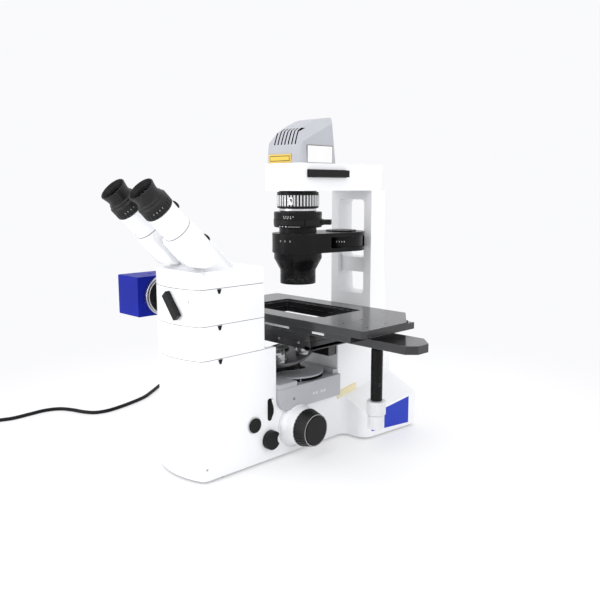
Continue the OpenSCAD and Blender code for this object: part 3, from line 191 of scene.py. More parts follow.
def surface(name, colour, rough, metal=0.0, coat=0.0, grain=900.0, depth=0.02, mottle=0.04, edge_wear_and_glint=None,
            streak=None, gloss=0.5):
    """Paint, plastic, rubber or metal with uneven colour and gloss and a fine relief, scales in 1/m.

    The edge colour argument is that of rubbed edges and also paints the highlights that edges catch; streak
    is the scale of turned or ground lines along each axis.
    """
    made, shader, place = new_material(name)
    light = tuple(min(1.0, c * (1 + mottle)) for c in colour)
    dark = tuple(c * (1 - mottle) for c in colour)
    broad = noise(place, 14.0, 4.0)
    uneven = noise(place, 70.0, 5.0, 0.65)
    roughness = (broad - 0.5) * 0.12 + (uneven - 0.5) * 0.12 + rough
    if streak:
        stretched = place.node("ShaderNodeMapping", {"Vector": place, "Scale": streak})
        relief = noise(stretched, 1.0, 3.0, 0.7)
        roughness = roughness + (relief - 0.5) * 0.25
        base = relief.above(0.25, 0.75).blend(dark, light)
    else:
        relief = noise(place, grain, 2.0)
        base = broad.above(0.3, 0.7).blend(dark, light)
    if edge_wear_and_glint:
        # edges lighter in patches: partly wear, partly painted highlight
        base = (rubbed_edges_and_glints(place) * 0.55).blend(base, edge_wear_and_glint)
    feed(shader.inputs["Base Color"], base)
    feed(shader.inputs["Roughness"], roughness.at_least(0.03))
    shader.inputs["Metallic"].default_value = metal
    shader.inputs["Coat Weight"].default_value = coat
    shader.inputs["Coat Roughness"].default_value = 0.12
    shader.inputs["Specular IOR Level"].default_value = gloss
    bump = {"Strength": depth, "Distance": 0.001, "Height": relief}
    feed(shader.inputs["Normal"], place.node("ShaderNodeBump", bump))
    return made


def glass(name, tint):
    """Clear glass with a faint uneven film."""
    made, shader, place = new_material(name)
    film = noise(place, 30.0)
    feed(shader.inputs["Base Color"], film.blend(tint, tuple(min(1, c * 1.08) for c in tint)))
    feed(shader.inputs["Roughness"], film * 0.03 + 0.02)
    shader.inputs["Transmission Weight"].default_value = 1.0
    shader.inputs["IOR"].default_value = 1.5
    return made


# Enamels and plastics
white = surface("white_enamel", (0.84, 0.85, 0.87), 0.33, coat=0.3, grain=600, depth=0.035, mottle=0.012)
grey = surface("grey_enamel", (0.43, 0.44, 0.47), 0.36, metal=0.1, coat=0.15, depth=0.05, mottle=0.03)
lamp_grey = surface("lamp_plastic", (0.42, 0.43, 0.47), 0.42, grain=1500, depth=0.09, mottle=0.03)
blue = surface("blue_enamel", (0.006, 0.014, 0.27), 0.42, grain=1100, depth=0.05, mottle=0.08, gloss=0.1)
blue_panel = surface("blue_panel", (0.010, 0.036, 0.46), 0.42, grain=1400, depth=0.03, gloss=0.3)
pale_plastic = surface("pale_plastic", (0.66, 0.67, 0.69), 0.3, coat=0.3, grain=1500, depth=0.06,
                       mottle=0.06)
plastic = surface("black_plastic", (0.006, 0.006, 0.0065), 0.36, grain=1800, depth=0.08, mottle=0.2,
                  gloss=0.2)
soft_black = surface("moulded_rubber", (0.009, 0.009, 0.0095), 0.42, grain=1400, depth=0.06, mottle=0.2,
                     gloss=0.3)
rubber = surface("black_rubber", (0.007, 0.007, 0.007), 0.55, grain=1200, depth=0.12, mottle=0.3, gloss=0.18)

# Metals
# the lighter edges of the anodised metals are partly wear, partly painted highlight
anodised = surface("black_anodised", (0.005, 0.005, 0.0055), 0.28, grain=1600, depth=0.05, mottle=0.25,
                   edge_wear_and_glint=(0.2, 0.2, 0.21), gloss=0.16)
stage_black = surface("stage_anodised", (0.012, 0.012, 0.013), 0.2, grain=2200, depth=0.015, mottle=0.25,
                      edge_wear_and_glint=(0.4, 0.4, 0.41), gloss=0.7)
silver = surface("satin_aluminium", (0.66, 0.66, 0.67), 0.27, metal=1.0, grain=1500, depth=0.03, mottle=0.05)
nickel = surface("turned_nickel", (0.42, 0.42, 0.43), 0.28, metal=1.0, streak=(6.0, 6.0, 900.0), depth=0.03,
                 mottle=0.06)
nose_grey = surface("nosepiece_grey", (0.13, 0.13, 0.135), 0.36, metal=0.8, depth=0.03, mottle=0.08)
steel = surface("ground_steel", (0.5, 0.5, 0.51), 0.26, metal=1.0, streak=(900.0, 6.0, 6.0), depth=0.03,
                mottle=0.08)

# Printed marks, plates, and dark colours that paint the shade in gaps and openings
mark_white = surface("printed_white", (0.8, 0.8, 0.8), 0.5, mottle=0.03)
# grey lines of painted shade in the gaps round the knobs and the button, and at the intensity slot's edge
gap_shade_grey = surface("painted_shade_grey_lines", (0.42, 0.42, 0.44), 0.5, mottle=0.03)
mark_yellow = surface("printed_yellow", (0.72, 0.50, 0.07), 0.4, coat=0.2, mottle=0.06)
mark_cream = surface("printed_cream", (0.80, 0.72, 0.46), 0.42, coat=0.2, mottle=0.05)
mark_dark = surface("printed_dark", (0.09, 0.06, 0.02), 0.45, mottle=0.05)
# painted shade for the grooves and joints between parts
seam_painted_shade = surface("seam_shadow", (0.02, 0.02, 0.022), 0.8, gloss=0.1)
# near black: printed ticks and the wedge mark, and painted shade in the vents, the intensity slot and the
# wheel window
shade_and_print_black = surface("painted_shade_and_printing", (0.004, 0.004, 0.004), 0.8, gloss=0.1)

# Glass
lens_glass = glass("coated_glass", (0.72, 0.84, 0.92))
filter_glass = glass("filter_glass", (0.45, 0.7, 0.9))


# Changes of form on the way from a CAD solid to its dressed copy
def lean_lamp(x, y, z):
    """The lamp housing draws in towards its top, most at the back."""
    rise = min(max((z - LAMP_LOW) / LAMP_RISE, 0), 1)
    back = 8.0 * rise * max(y, 0) / 55
    front = 2.0 * rise * max(-y, 0) / 35
    return x * (1 - 0.07 * rise), y - back + front, z


def widen_carrier(x, y, z):
    """The stage carrier's sides stand under the plate's ends, and its guides begin behind the apron."""
    guide_front, guide_low, side = -31.5, 194.8, 85.5
    if z > guide_low and y < guide_front:
        y = guide_front
    return x + (math.copysign(6, x) if abs(x) > side else 0), y, z


def in_seam(joint):
    """Test for the upright faces of the groove over a joint between two modules, which are coloured dark as
    painted shade.
    """
    def test(face):
        heights = [vert.co.z / MM for vert in face.verts]
        return abs(face.normal.z) < 0.5 and min(heights) > joint - 0.05 and max(heights) < joint + 0.9
    return test


def in_vents(face):
    """Test for the side walls of the lamp housing's vents, which are coloured dark as painted shade."""
    reach = max(abs(vert.co.x) / MM for vert in face.verts)
    return abs(face.normal.x) > 0.8 and reach < 31


RESHAPED = {"lamp_housing": lean_lamp, "stage_carrier": widen_carrier}
# faces coloured dark as painted shade: the grooves over the module joints and the vent walls of the lamp
# housing
PAINTED_SHADE_FACES = {"lower_tube_module": (seam_painted_shade, in_seam(187)), "camera_port_module": (seam_painted_shade, in_seam(238)),
           "binocular_base": (seam_painted_shade, in_seam(292)), "lamp_housing": (shade_and_print_black, in_vents)}
# Faces with openings stay in triangles, because a rounded edge would cover the opening
TRIANGLES_KEPT = ("lamp_arm", "cross_slide", "top_plate", "stage_carrier", "nosepiece_bracket")


def soften(node, material, width, name=None):
    """A copy of a node's mesh that stands for it, with joined faces and edges rounded to width in mm."""
    source = nodes[node]
    mesh = bpy.data.meshes.new(node + "_mesh")
    form = bmesh.new()
    form.from_mesh(source.data)
    bmesh.ops.remove_doubles(form, verts=form.verts, dist=2e-6)
    if node in RESHAPED:
        for vert in form.verts:
            vert.co = Vector(RESHAPED[node](*(vert.co / MM))) * MM
    if node not in TRIANGLES_KEPT:
        bmesh.ops.dissolve_limit(form, angle_limit=math.radians(0.4), verts=form.verts, edges=form.edges)
    mesh.materials.append(material)
    for face in form.faces:
        face.smooth = True
    # faces in a groove or a vent take the painted shade material
    if node in PAINTED_SHADE_FACES:
        shade_material, is_shaded = PAINTED_SHADE_FACES[node]
        mesh.materials.append(shade_material)
        for face in form.faces:
            face.material_index = int(is_shaded(face))
    form.to_mesh(mesh)
    form.free()
    piece = bpy.data.objects.new(name or node + "_skin", mesh)
    scene.collection.objects.link(piece)
    if width:
        edge = round_edges(piece, width)
        edge.angle_limit = math.radians(32)
        edge.miter_outer = "MITER_ARC"
    piece.modifiers.new("weight", "WEIGHTED_NORMAL").keep_sharp = True
    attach(piece, source["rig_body"])
    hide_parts(node)
    return piece


def round_edges(piece, width):
    edge = piece.modifiers.new("edge", "BEVEL")
    edge.width = width * MM
    edge.segments = 2
    edge.limit_method = "ANGLE"
    edge.harden_normals = True
    return edge


# Finish and edge radius of each CAD node
LOOKS = {
    # stand
    "stand_body": (white, 1.6), "base_plate": (plastic, 0.4), "feet": (rubber, 0.6),
    "side_panels": (blue_panel, 0.3), "rear_panel": (grey, 0.5), "power_inlet": (plastic, 0.4),
    "lower_tube_module": (white, 0.25), "camera_port_module": (white, 0.25), "binocular_base": (white, 0.25),
    "module_clamps": (plastic, 0.2), "swing_spindle": (white, 0.6), "cord_plugs": (rubber, 0.8),
    # lamp, condenser and camera
    "lamp_pillar": (white, 2.2), "lamp_arm": (white, 1.2), "lamp_housing": (lamp_grey, 0.6),
    "lamp_board": (silver, 0.2), "lamp_lenses": (lens_glass, 0.0), "condenser_body": (anodised, 0.7),
    "filter_drawer": (plastic, 0.6), "drawer_filters": (filter_glass, 0.0), "aperture_lever": (plastic, 0.8),
    "contrast_turret": (anodised, 0.2), "camera_adapter": (anodised, 0.5), "camera_body": (blue, 0.9),
    # eyepieces
    "right_prism_arm": (white, 1.2), "left_prism_arm": (white, 1.2),
    "right_tube_caps": (plastic, 0.4), "left_tube_caps": (plastic, 0.4),
    "right_eyepiece": (soft_black, 0.3), "left_eyepiece": (soft_black, 0.3),
    "right_eye_lens": (lens_glass, 0.0), "left_eye_lens": (lens_glass, 0.0),
    "right_dioptre_ring": (soft_black, 0.3), "left_dioptre_ring": (soft_black, 0.3),
    "right_eyecup": (soft_black, 0.3), "left_eyecup": (soft_black, 0.3),
    # stage
    "stage_carrier": (stage_black, 0.5), "cross_slide": (stage_black, 0.5), "top_plate": (stage_black, 0.5),
    "stage_drive_sleeve": (anodised, 0.3), "upper_drive_knob": (pale_plastic, 0.4),
    "lower_drive_knob": (pale_plastic, 0.4),
    # nosepiece, reflector and focus
    "nosepiece_bracket": (anodised, 0.5), "nosepiece_disc": (nose_grey, 0.2), "objectives": (nickel, 0.3),
    "reflector_housing": (grey, 1.4), "reflector_deck": (grey, 0.7), "reflector_wheel": (plastic, 0.2),
    "filter_cubes": (anodised, 0.3), "focus_bosses": (white, 1.0), "focus_rail": (steel, 0.4),
    "coarse_focus": (soft_black, 0.3), "fine_focus": (plastic, 0.6),
}
for node, (material, width) in LOOKS.items():
    soften(node, material, width)


# Builders for small pieces, sizes in millimetres
def add(name, form, material, body, matrix=None, width=0.0):
    """A piece from a form, placed by a matrix, with its edges rounded to width, on a body."""
    for face in form.faces:
        face.smooth = True
    bmesh.ops.recalc_face_normals(form, faces=form.faces)
    if matrix is not None:
        bmesh.ops.transform(form, matrix=matrix, verts=form.verts)
    bmesh.ops.scale(form, vec=(MM, MM, MM), verts=form.verts)
    mesh = bpy.data.meshes.new(name)
    form.to_mesh(mesh)
    form.free()
    mesh.materials.append(material)
    piece = bpy.data.objects.new(name, mesh)
    scene.collection.objects.link(piece)
    if width:
        round_edges(piece, width)
    piece.modifiers.new("weight", "WEIGHTED_NORMAL").keep_sharp = True
    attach(piece, body)
    return piece


def lathe(profile, steps=48):
    """Turned form from (radius, height) pairs about local Z."""
    form = bmesh.new()
    rings = []
    for radius, height in profile:
        if radius < 1e-6:
            rings.append([form.verts.new((0, 0, height))])
            continue
        angles = [2 * math.pi * k / steps for k in range(steps)]
        rings.append([form.verts.new((radius * math.cos(a), radius * math.sin(a), height)) for a in angles])
    for low, high in zip(rings, rings[1:]):
        for k in range(steps):
            n = k + 1
            quad = (low[k % len(low)], low[n % len(low)], high[n % len(high)], high[k % len(high)])
            corners = []
            for vert in quad:
                if vert not in corners:
                    corners.append(vert)
            if len(corners) > 2:
                form.faces.new(corners)
    return form


def slab(outline, low, high, form=None, matrix=None):
    """Flat outline raised from low to high along local Z, added to a form if one is given."""
    form = form or bmesh.new()
    bottom = [form.verts.new((x, y, low)) for x, y in outline]
    top = [form.verts.new((x, y, high)) for x, y in outline]
    form.faces.new(bottom[::-1])
    form.faces.new(top)
    for k in range(len(outline)):
        n = (k + 1) % len(outline)
        form.faces.new((bottom[k], bottom[n], top[n], top[k]))
    if matrix is not None:
        bmesh.ops.transform(form, matrix=matrix, verts=bottom + top)
    return form


def box_outline(x0, x1, y0, y1):
    return [(x0, y0), (x1, y0), (x1, y1), (x0, y1)]


def rounded(x0, x1, y0, y1, r, steps=5):
    """Outline of a rectangle with round corners."""
    corners = ((x1 - r, y1 - r, 0), (x0 + r, y1 - r, 90), (x0 + r, y0 + r, 180), (x1 - r, y0 + r, 270))
    points = []
    for cx, cy, start in corners:
        for k in range(steps + 1):
            a = math.radians(start + 90 * k / steps)
            points.append((cx + r * math.cos(a), cy + r * math.sin(a)))
    return points


# Where small pieces sit
def axes(origin, right, up, out):
    """Matrix that takes local X, Y, Z to the given directions at the origin."""
    made = Matrix.Identity(4)
    for column, direction in enumerate((right, up, out)):
        for row in range(3):
            made[row][column] = Vector(direction).normalized()[row]
    for row in range(3):
        made[row][3] = origin[row]
    return made


def on_side(x, y, z):
    """On a face that looks along +X: local X is +Y, local Y is up."""
    return axes((x, y, z), (0, 1, 0), (0, 0, 1), (1, 0, 0))


def on_front(x, y, z):
    """On a face that looks along -Y: local X is +X, local Y is up."""
    return axes((x, y, z), (1, 0, 0), (0, 0, 1), (0, -1, 0))


def on_round(centre, radius, degrees, z):
    """On an upright cylinder: local X runs round it, local Y is up."""
    a = math.radians(degrees)
    out = (math.cos(a), math.sin(a), 0)
    spot = (centre[0] + radius * out[0], centre[1] + radius * out[1], z)
    return axes(spot, (-out[1], out[0], 0), (0, 0, 1), out)


def turned(degrees):
    return Matrix.Rotation(math.radians(degrees), 4, "Z")


# Screws, plates, ticks and fine rings
def screw(name, matrix, body, radius=2.2, material=None):
    """Socket head of a small screw, let in flush."""
    profile = [(0, -0.4), (radius * 0.5, -0.4), (radius * 0.55, 0.15), (radius * 0.9, 0.15), (radius, 0),
               (radius, -0.6)]
    return add(name, lathe(profile, 24), material or steel, body, matrix)


def plate(name, matrix, half_w, half_h, material, body, corner, high):
    """Thin plate with round corners that stands up to high over its face."""
    form = slab(rounded(-half_w, half_w, -half_h, half_h, corner, 4), -0.2, high)
    return add(name, form, material, body, matrix, 0.0)


def ticks(name, places, half_w, half_h, material, body):
    """Small printed bars at several places, one piece."""
    form = bmesh.new()
    for matrix in places:
        slab(box_outline(-half_w, half_w, -half_h, half_h), -0.1, 0.12, form, matrix)
    return add(name, form, material, body)


def ring_line(name, matrix, radius, thick, material, body):
    """Thin flat ring on a face."""
    inner = radius - thick
    form = lathe([(inner, -0.1), (inner, 0.15), (radius, 0.15), (radius, -0.1)], 72)
    return add(name, form, material, body, matrix)


# Lamp housing: bare plates where labels sit, and a dark sheet of painted shade behind the vents
def add_lamp_plates():
    def stack(matrix, layers):
        for name, half_w, half_h, material, corner, high in layers:
            plate(name, matrix, half_w, half_h, material, "stand", corner, high)

    stack(on_front(-7, -35, 484.6), (("lamp_plate_rim", 26.5, 6.9, mark_yellow, 0.8, 0.75),
                                     ("lamp_plate_dark", 23.6, 4.4, mark_dark, 0.5, 0.9),
                                     ("lamp_plate_face", 22.3, 3.2, mark_yellow, 0.4, 1.05)))
    stack(on_side(40.6, 11, 491.5), (("lamp_label_rim", 30.5, 14.4, mark_dark, 1.0, 0.5),
                                     ("lamp_label_face", 29.6, 13.5, mark_white, 0.8, 0.62)))
    # the painted shade behind the vents is the housing itself, drawn in from its walls
    vent_shade_sheet = soften("lamp_housing", shade_and_print_black, 0, name="lamp_vent_shade")
    for vert in vent_shade_sheet.data.vertices:
        x, y, z = vert.co / MM
        inside = (x * 0.84 + 4, (y - 10) * 0.9 + 10, (z - LAMP_LOW) * 0.93 + LAMP_LOW + 0.3)
        vert.co = Vector(inside) * MM


# Knurled field ring with silver flutes between two dark bands
def add_field_ring():
    low, high = 403, 430
    flutes_low, flutes_high = 406.5, 424.7
    core = lathe([(30.3, low), (34.6, low), (35.4, low + 0.6), (35.4, 406.4), (33.3, 406.8), (33.3, 424.4),
                  (35.4, 424.8), (35.4, high - 0.6), (34.8, high), (30.3, high), (30.3, low)], 80)
    ring = add("field_ring_core", core, anodised, "field_ring", width=0.2)
    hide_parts("field_ring")
    flute = [(33.0, -1.75), (35.9, -1.55), (36.4, -1.0), (36.4, 1.0), (35.9, 1.55), (33.0, 1.75)]
    form = bmesh.new()
    count = 40
    for k in range(count):
        slab(flute, flutes_low, flutes_high, form, turned(360 * k / count))
    flutes = add("field_ring_flutes", form, silver, "field_ring", width=0.25)
    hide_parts("field_ring")
    patch = on_round((0, 0), 36.3, -64, 415)
    plate("field_ring_patch", patch, 3.6, 6.0, mark_white, "field_ring", 0.3, 0.35)
    wedge = slab([(-2.2, 3.6), (2.2, 3.6), (2.2, -3.0)], 0.2, 0.5)
    add("field_ring_wedge", wedge, shade_and_print_black, "field_ring", patch)
    neck = lathe([(30.1, 398.2), (31.2, 398.2), (31.6, 398.8), (31.6, 402.2), (31.2, 402.7),
                  (30.1, 402.7)], 72)
    add("neck_collar", neck, silver, "stand", width=0.15)


# White ticks and fine rings on the condenser
def add_condenser_marks():
    # name, radius, first and last angle, count, height, and a bar's half width and half height
    rows = (("drum_ticks", 41.05, -80, -56, 5, 389.4, 0.3, 1.4),
            ("drum_figures", 41.05, -77, -62, 3, 386.6, 1.1, 0.3),
            ("lever_scale", 41.05, -66, -42, 6, 372.8, 1.0, 0.25),
            ("lever_marks", 41.05, -92, -74, 3, 373, 0.8, 0.8),
            ("turret_ticks", 44.05, -86, -62, 3, 349, 0.3, 1.5))
    for name, radius, start, end, count, z, half_w, half_h in rows:
        places = [on_round((0, 0), radius, start + (end - start) * k / (count - 1), z) for k in range(count)]
        ticks(name, places, half_w, half_h, mark_white, "stand")
    # radius and height of each ring: drum, lower barrel, turret housing
    rings = ((41.0, 392.5), (41.0, 384.6), (41.0, 374.6), (30.5, 279), (30.5, 283), (30.5, 287), (30.5, 296),
             (44.0, 358.5), (44.0, 331))
    for k, (radius, z) in enumerate(rings):
        inner, outer = radius - 0.3, radius + 0.28
        band = lathe([(inner, z - 0.55), (outer, z - 0.3), (outer, z + 0.3), (inner, z + 0.55)], 72)
        add("condenser_ring_%d" % k, band, plastic, "stand")
    places = [on_round((18, 90), 42.3, angle, 345) for angle in (-58, -52, -46, -40)]
    ticks("turret_window_marks", places, 0.5, 1.1, mark_white, "contrast_turret")


# Finger tab of the aperture ring, with the grip that runs on round the ring
def add_aperture_tab():
    low, high = 375.4, 383.6
    outline = [(38, -16), (46, -14.5), (50, -10), (57, -9), (57, 9), (50, 10), (46, 14.5), (38, 16)]
    form = slab(outline, low, high)
    grip = [(44.6, angle) for angle in range(-66, 25, 6)] + [(40.5, angle) for angle in range(24, -67, -6)]
    points = [(r * math.cos(math.radians(angle)), r * math.sin(math.radians(angle))) for r, angle in grip]
    slab(points, low - 1, high + 0.6, form)
    tab = add("aperture_tab", form, plastic, "aperture_lever", turned(38), 0.6)
    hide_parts("aperture_lever")


# Straight-sided lever of the camera port
def add_port_lever():
    outline = rounded(-6.5, 6.5, -37.5, 6.5, 0.8)
    place = on_front(-3, -263.4, 279) @ turned(40)
    lever = add("port_lever_bar", slab(outline, 0, 8), plastic, "port_lever", place, 0.9)
    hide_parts("port_lever")


# Knurled wheel of the lamp intensity, in a slot drawn as painted shade
def add_intensity_wheel():
    radius, groove = 21.5, 0.7
    count = 60
    outline = []
    for k in range(count):
        for share, r in ((0.0, radius - groove), (0.25, radius), (0.6, radius), (0.85, radius - groove)):
            a = 2 * math.pi * (k + share) / count
            outline.append((r * math.cos(a), r * math.sin(a)))
    form = slab(outline, -3.2, 3.2)
    wheel = add("intensity_wheel_rim", form, rubber, "intensity_wheel", on_front(42, *INTENSITY_YZ), 0.2)
    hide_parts("intensity_wheel")
    # the slot in the body is a grey rim and a dark plate on its face, painted shade in place of a recess
    slot = on_side(BODY_SIDE, *INTENSITY_YZ)
    plate("intensity_slot", slot, 5.0, 19.0, gap_shade_grey, "stand", 4.6, 0.12)
    plate("intensity_slot_shade", slot, 4.3, 18.2, shade_and_print_black, "stand", 4.0, 0.2)


# Push button with a dished face, and the round light path knob with its finger hollow
def add_round_controls():
    # the cap's rim stands over the body by more than the button's travel
    profile = [(0, 2.9), (8.5, 3.1), (10.6, 3.7), (11.5, 3.6), (12, 3.1), (12, 2.15), (10, 2.1), (10, -0.3)]
    place = on_side(BODY_SIDE, *BUTTON_YZ)
    button = add("power_button_cap", lathe(profile, 64), plastic, "power_button", place)
    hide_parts("power_button")
    radius, hollow, reach = 15.5, 10.0, 19.5
    count = 90
    edge = []
    for k in range(count):
        a = 2 * math.pi * k / count
        x, y = radius * math.cos(a), radius * math.sin(a)
        gap = math.hypot(x - reach, y)
        if gap < hollow:
            x, y = reach + (x - reach) * hollow / gap, y * hollow / gap
        edge.append((x, y))
    place = on_side(BODY_SIDE, *LIGHT_PATH_YZ)
    knob = add("light_path_disc", slab(edge, 0.4, 9.5), plastic, "light_path_knob", place, 1.0)
    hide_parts("light_path_knob")


# Apron and skirt that close the front under the stage
def add_stage_front():
    low, high = 195.2, 208.5
    form = slab(box_outline(-90, 90, APRON_FRONT, -62), low, high)
    for inner, outer in ((-90, -STAGE_HALF_W), (90, STAGE_HALF_W)):
        slab(box_outline(inner, outer, APRON_FRONT, 40), low, high, form)
    add("stage_apron", form, stage_black, "cross_slide", width=0.4)
    low, high = 181.5, 187
    form = slab(box_outline(-STAGE_HALF_W, STAGE_HALF_W, SKIRT_FRONT, -63), low, high)
    for inner, outer in ((-89, -STAGE_HALF_W), (89, STAGE_HALF_W)):
        slab(box_outline(inner, outer, -63, 24), low, high, form)
    add("carrier_skirt", form, stage_black, "stand", width=0.4)
    for name, x0, x1 in (("left_scale", -8, 50), ("right_scale", 102, 128)):
        half_w = (x1 - x0) / 2
        strip = on_front(x0 + half_w, APRON_FRONT, 212.4)
        plate(name, strip, half_w, 1.7, mark_white, "cross_slide", 0.3, 0.15)
        places = [on_front(x0 + 1 + 2 * k, APRON_FRONT - 0.15, 212.8) for k in range(int(half_w))]
        ticks(name + "_ticks", places, 0.16, 1.0, shade_and_print_black, "cross_slide")
    for k, x in enumerate((70, -20, 24)):
        screw("carrier_screw_%d" % k, on_front(x, SKIRT_FRONT, 190.5), "stand")


# Fine lines on the body: grey rings of painted shade in the gaps round the knobs, small screws, a bare name
# plate
def add_body_marks():
    focus = on_side(BODY_SIDE, *FOCUS_YZ)
    # grey rings of painted shade where the focus boss and the button meet the body
    ring_line("focus_outline", focus, 38.5, 0.5, gap_shade_grey, "stand")
    button = on_side(BODY_SIDE, *BUTTON_YZ)
    ring_line("button_outline", button, 13.4, 0.45, gap_shade_grey, "stand")
    for k, (y, z) in enumerate(((-114, 104), (-246, 22))):
        screw("body_screw_%d" % k, on_side(BODY_SIDE, y, z), "stand", 1.9)
    screw("port_screw", on_front(36, MODULE_FRONT, 275), "stand", 2.0)
    tilted = on_side(BODY_SIDE + 0.05, 65, 80) @ turned(8)
    plate("name_plate_rim", tilted, 25.5, 6.8, mark_yellow, "stand", 0.6, 0.3)
    plate("name_plate_face", tilted, 24.8, 6.1, mark_cream, "stand", 0.5, 0.45)
    # on the outer end of the coarse knob
    knob_end = BODY_SIDE + 47.95
    ring_line("fine_knob_line", on_side(knob_end, *FOCUS_YZ), 26.0, 0.5, mark_white, "coarse_focus")


# Reflector housing: a dark band for the window that shows the black hand wheel, partly painted shade, its
# marks, four keys and a screw
def add_housing_marks():
    screw("housing_screw", on_side(HOUSING_SIDE, -72, 96), "stand", 2.3, plastic)
    # the dark band is partly the black wheel rim, partly painted shade under the deck
    low, high = 117.4, 121.7
    count = 24
    form = bmesh.new()
    for k in range(count):
        start, end = (math.radians(-50 + 80 * (k + share) / count) for share in (0, 1))
        corners = ((58.3, start), (58.3, end), (57.4, end), (57.4, start))
        outline = [(WHEEL_XY[0] + r * math.cos(a), WHEEL_XY[1] + r * math.sin(a)) for r, a in corners]
        slab(outline, low, high, form)
    add("wheel_window_shade", form, shade_and_print_black, "stand")
    places = [on_round(WHEEL_XY, 58.35, angle, 119.5) for angle in (-46, -26)]
    ticks("wheel_marks", places, 0.5, 1.5, mark_white, "stand")
    for k, y in enumerate((-26, -19, -7, 0)):
        key = on_side(HOUSING_SIDE, y, 96)
        plate("housing_key_%d" % k, key, 1.9, 2.3, pale_plastic, "stand", 0.5, 0.35)


# White marks on the dioptre rings, dark rings of painted shade at the joints, and screws of the eyepiece
# sleeves
def add_eyepiece_marks():
    along = Vector((0, LEAN, -LEAN))
    for name, x in (("right", EYE_X), ("left", -EYE_X)):
        eye = Vector((x, *EYE_YZ))
        places = []
        for k in range(4):
            a = math.radians(-50 + 13 * k)
            out = Vector((math.cos(a), math.sin(a) * LEAN, math.sin(a) * LEAN))
            places.append(axes(eye + 32.0 * along + 22.5 * out, along.cross(out), -along, out))
        ticks(name + "_dioptre_ticks", places, 0.22, 0.9, mark_white, name + "_dioptre")
        down = axes(eye, (1, 0, 0), (0, -LEAN, -LEAN), along)
        arm = name + "_tube"
        radius = 21.55
        # thin dark rings at the sleeve joints, painted shade in the seams
        for k, z in enumerate((80.3, 40.6)):
            inner, outer = radius - 0.3, radius + 0.1
            line = lathe([(inner, z - 0.35), (outer, z - 0.25), (outer, z + 0.25), (inner, z + 0.35)], 64)
            add("%s_sleeve_seam_shade_%d" % (name, k), line, seam_painted_shade, arm, down)
        for k, angle in enumerate((95, 165)):
            a = math.radians(angle)
            round_it = Vector((math.cos(a), math.sin(a), 0))
            spot = down @ (21.6 * round_it + Vector((0, 0, 72)))
            out = down.to_3x3() @ round_it
            screw("%s_sleeve_screw_%d" % (name, k), axes(spot, out.cross(along), along, out), arm, 1.1)


# Camera fittings: two sockets on top and the rings of the mount
def add_camera_fittings():
    low, high = (Vector(corner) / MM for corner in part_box("camera_body"))
    middle = (low + high) / 2
    for k, shift in enumerate((-14, 14)):
        form = lathe([(0, 1.2), (2.2, 1.2), (2.4, 0.6), (4.2, 0.6), (4.6, 0.2), (4.6, -0.3)], 32)
        place = Matrix.Translation((middle.x + shift, middle.y - 20, high.z - 1.2))
        add("camera_socket_%d" % k, form, nickel, "stand", place)
    adapter_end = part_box("camera_adapter")[0][0] / MM
    for name, x, radius, half in (("adapter_clamp_ring", adapter_end + 4.5, 31.4, 4.2),
                                  ("adapter_thin_ring", adapter_end + 12, 29.4, 0.8)):
        inner, cut = 25, 0.7
        ring = lathe([(inner, -half), (radius - cut, -half), (radius, cut - half), (radius, half - cut),
                      (radius - cut, half), (inner, half)], 72)
        add(name, ring, silver, "stand", on_side(x, *PORT_YZ))


add_lamp_plates()
add_field_ring()
add_condenser_marks()
add_aperture_tab()
add_port_lever()
add_intensity_wheel()
add_round_controls()
add_stage_front()
add_body_marks()
add_housing_marks()
add_eyepiece_marks()
add_camera_fittings()


# Route of the mains cord: over the table, three turns of coil, and up to its plug
CORD_RADIUS = 3.5
COIL_XY = (-492.3, -420)


def ramp(step, start):
    """0 before start, 1 from 90 degrees after it."""
    return min(max((step - start) / 90, 0), 1)


def smooth(share):
    return share * share * (3 - 2 * share)


def cord_points():
    table = CORD_RADIUS
    route = [(-84, 226, 34), (-84, 240, 34), (-86, 252, 31), (-92, 264, 22), (-104, 276, 10)]
    over_table = [(-122, 284), (-150, 286), (-185, 276), (-225, 250), (-265, 215), (-310, 175), (-355, 138),
                  (-400, 98), (-430, 62), (-443, 40), (-445, 21), (-434, -2), (-409, -36), (-382, -76),
                  (-364, -126), (-355, -168), (-356, -187), (-363, -202), (-382, -214), (-410, -224),
                  (-433, -239), (-443, -264), (-442, -290), (-440, -328), (-447, -352), (-450, -376),
                  (-450.3, -400)]
    route += [(x, y, table) for x, y in over_table]
    for step in range(0, 1171, 18):
        # the middle turn lies inside the first, and the last turn on top
        inner = ramp(step, 250) - ramp(step, 900)
        radius = 42 - 7.25 * smooth(inner)
        turn = math.radians(-step)
        route.append((COIL_XY[0] + radius * math.cos(turn), COIL_XY[1] + radius * math.sin(turn),
                      table + 7.3 * smooth(ramp(step, 630))))
    route += [(-502, -462, 10.4), (-512, -462.5, 9.2), (-522, -464.5, 7), (-532, -469, 6), (-541, -477, 6.5),
              (-548, -488, 9.5), (-551.5, -500, 14), (-552, -510, 16.6), (-552, -515, 17)]
    return [Vector(point) * MM for point in route]


def add_cord():
    points = cord_points()
    curve = bpy.data.curves.new("mains_cord", "CURVE")
    curve.dimensions = "3D"
    curve.bevel_depth = CORD_RADIUS * MM
    curve.bevel_resolution = 4
    curve.resolution_u = 6
    spline = curve.splines.new("BEZIER")
    spline.bezier_points.add(len(points) - 1)
    for k, point in enumerate(points):
        before = points[max(k - 1, 0)]
        after = points[min(k + 1, len(points) - 1)]
        way = after - before
        if point.z < (CORD_RADIUS + 0.1) * MM:
            # on the table it runs level
            way.z = 0
        way.normalize()
        knot = spline.bezier_points[k]
        knot.co = point
        knot.handle_left = point - way * (point - before).length / 3
        knot.handle_right = point + way * (after - point).length / 3
    piece = bpy.data.objects.new("mains_cord", curve)
    scene.collection.objects.link(piece)
    curve.materials.append(rubber)
    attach(piece, "stand")
    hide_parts("cord", "cord_coil")
    add_strain_relief()


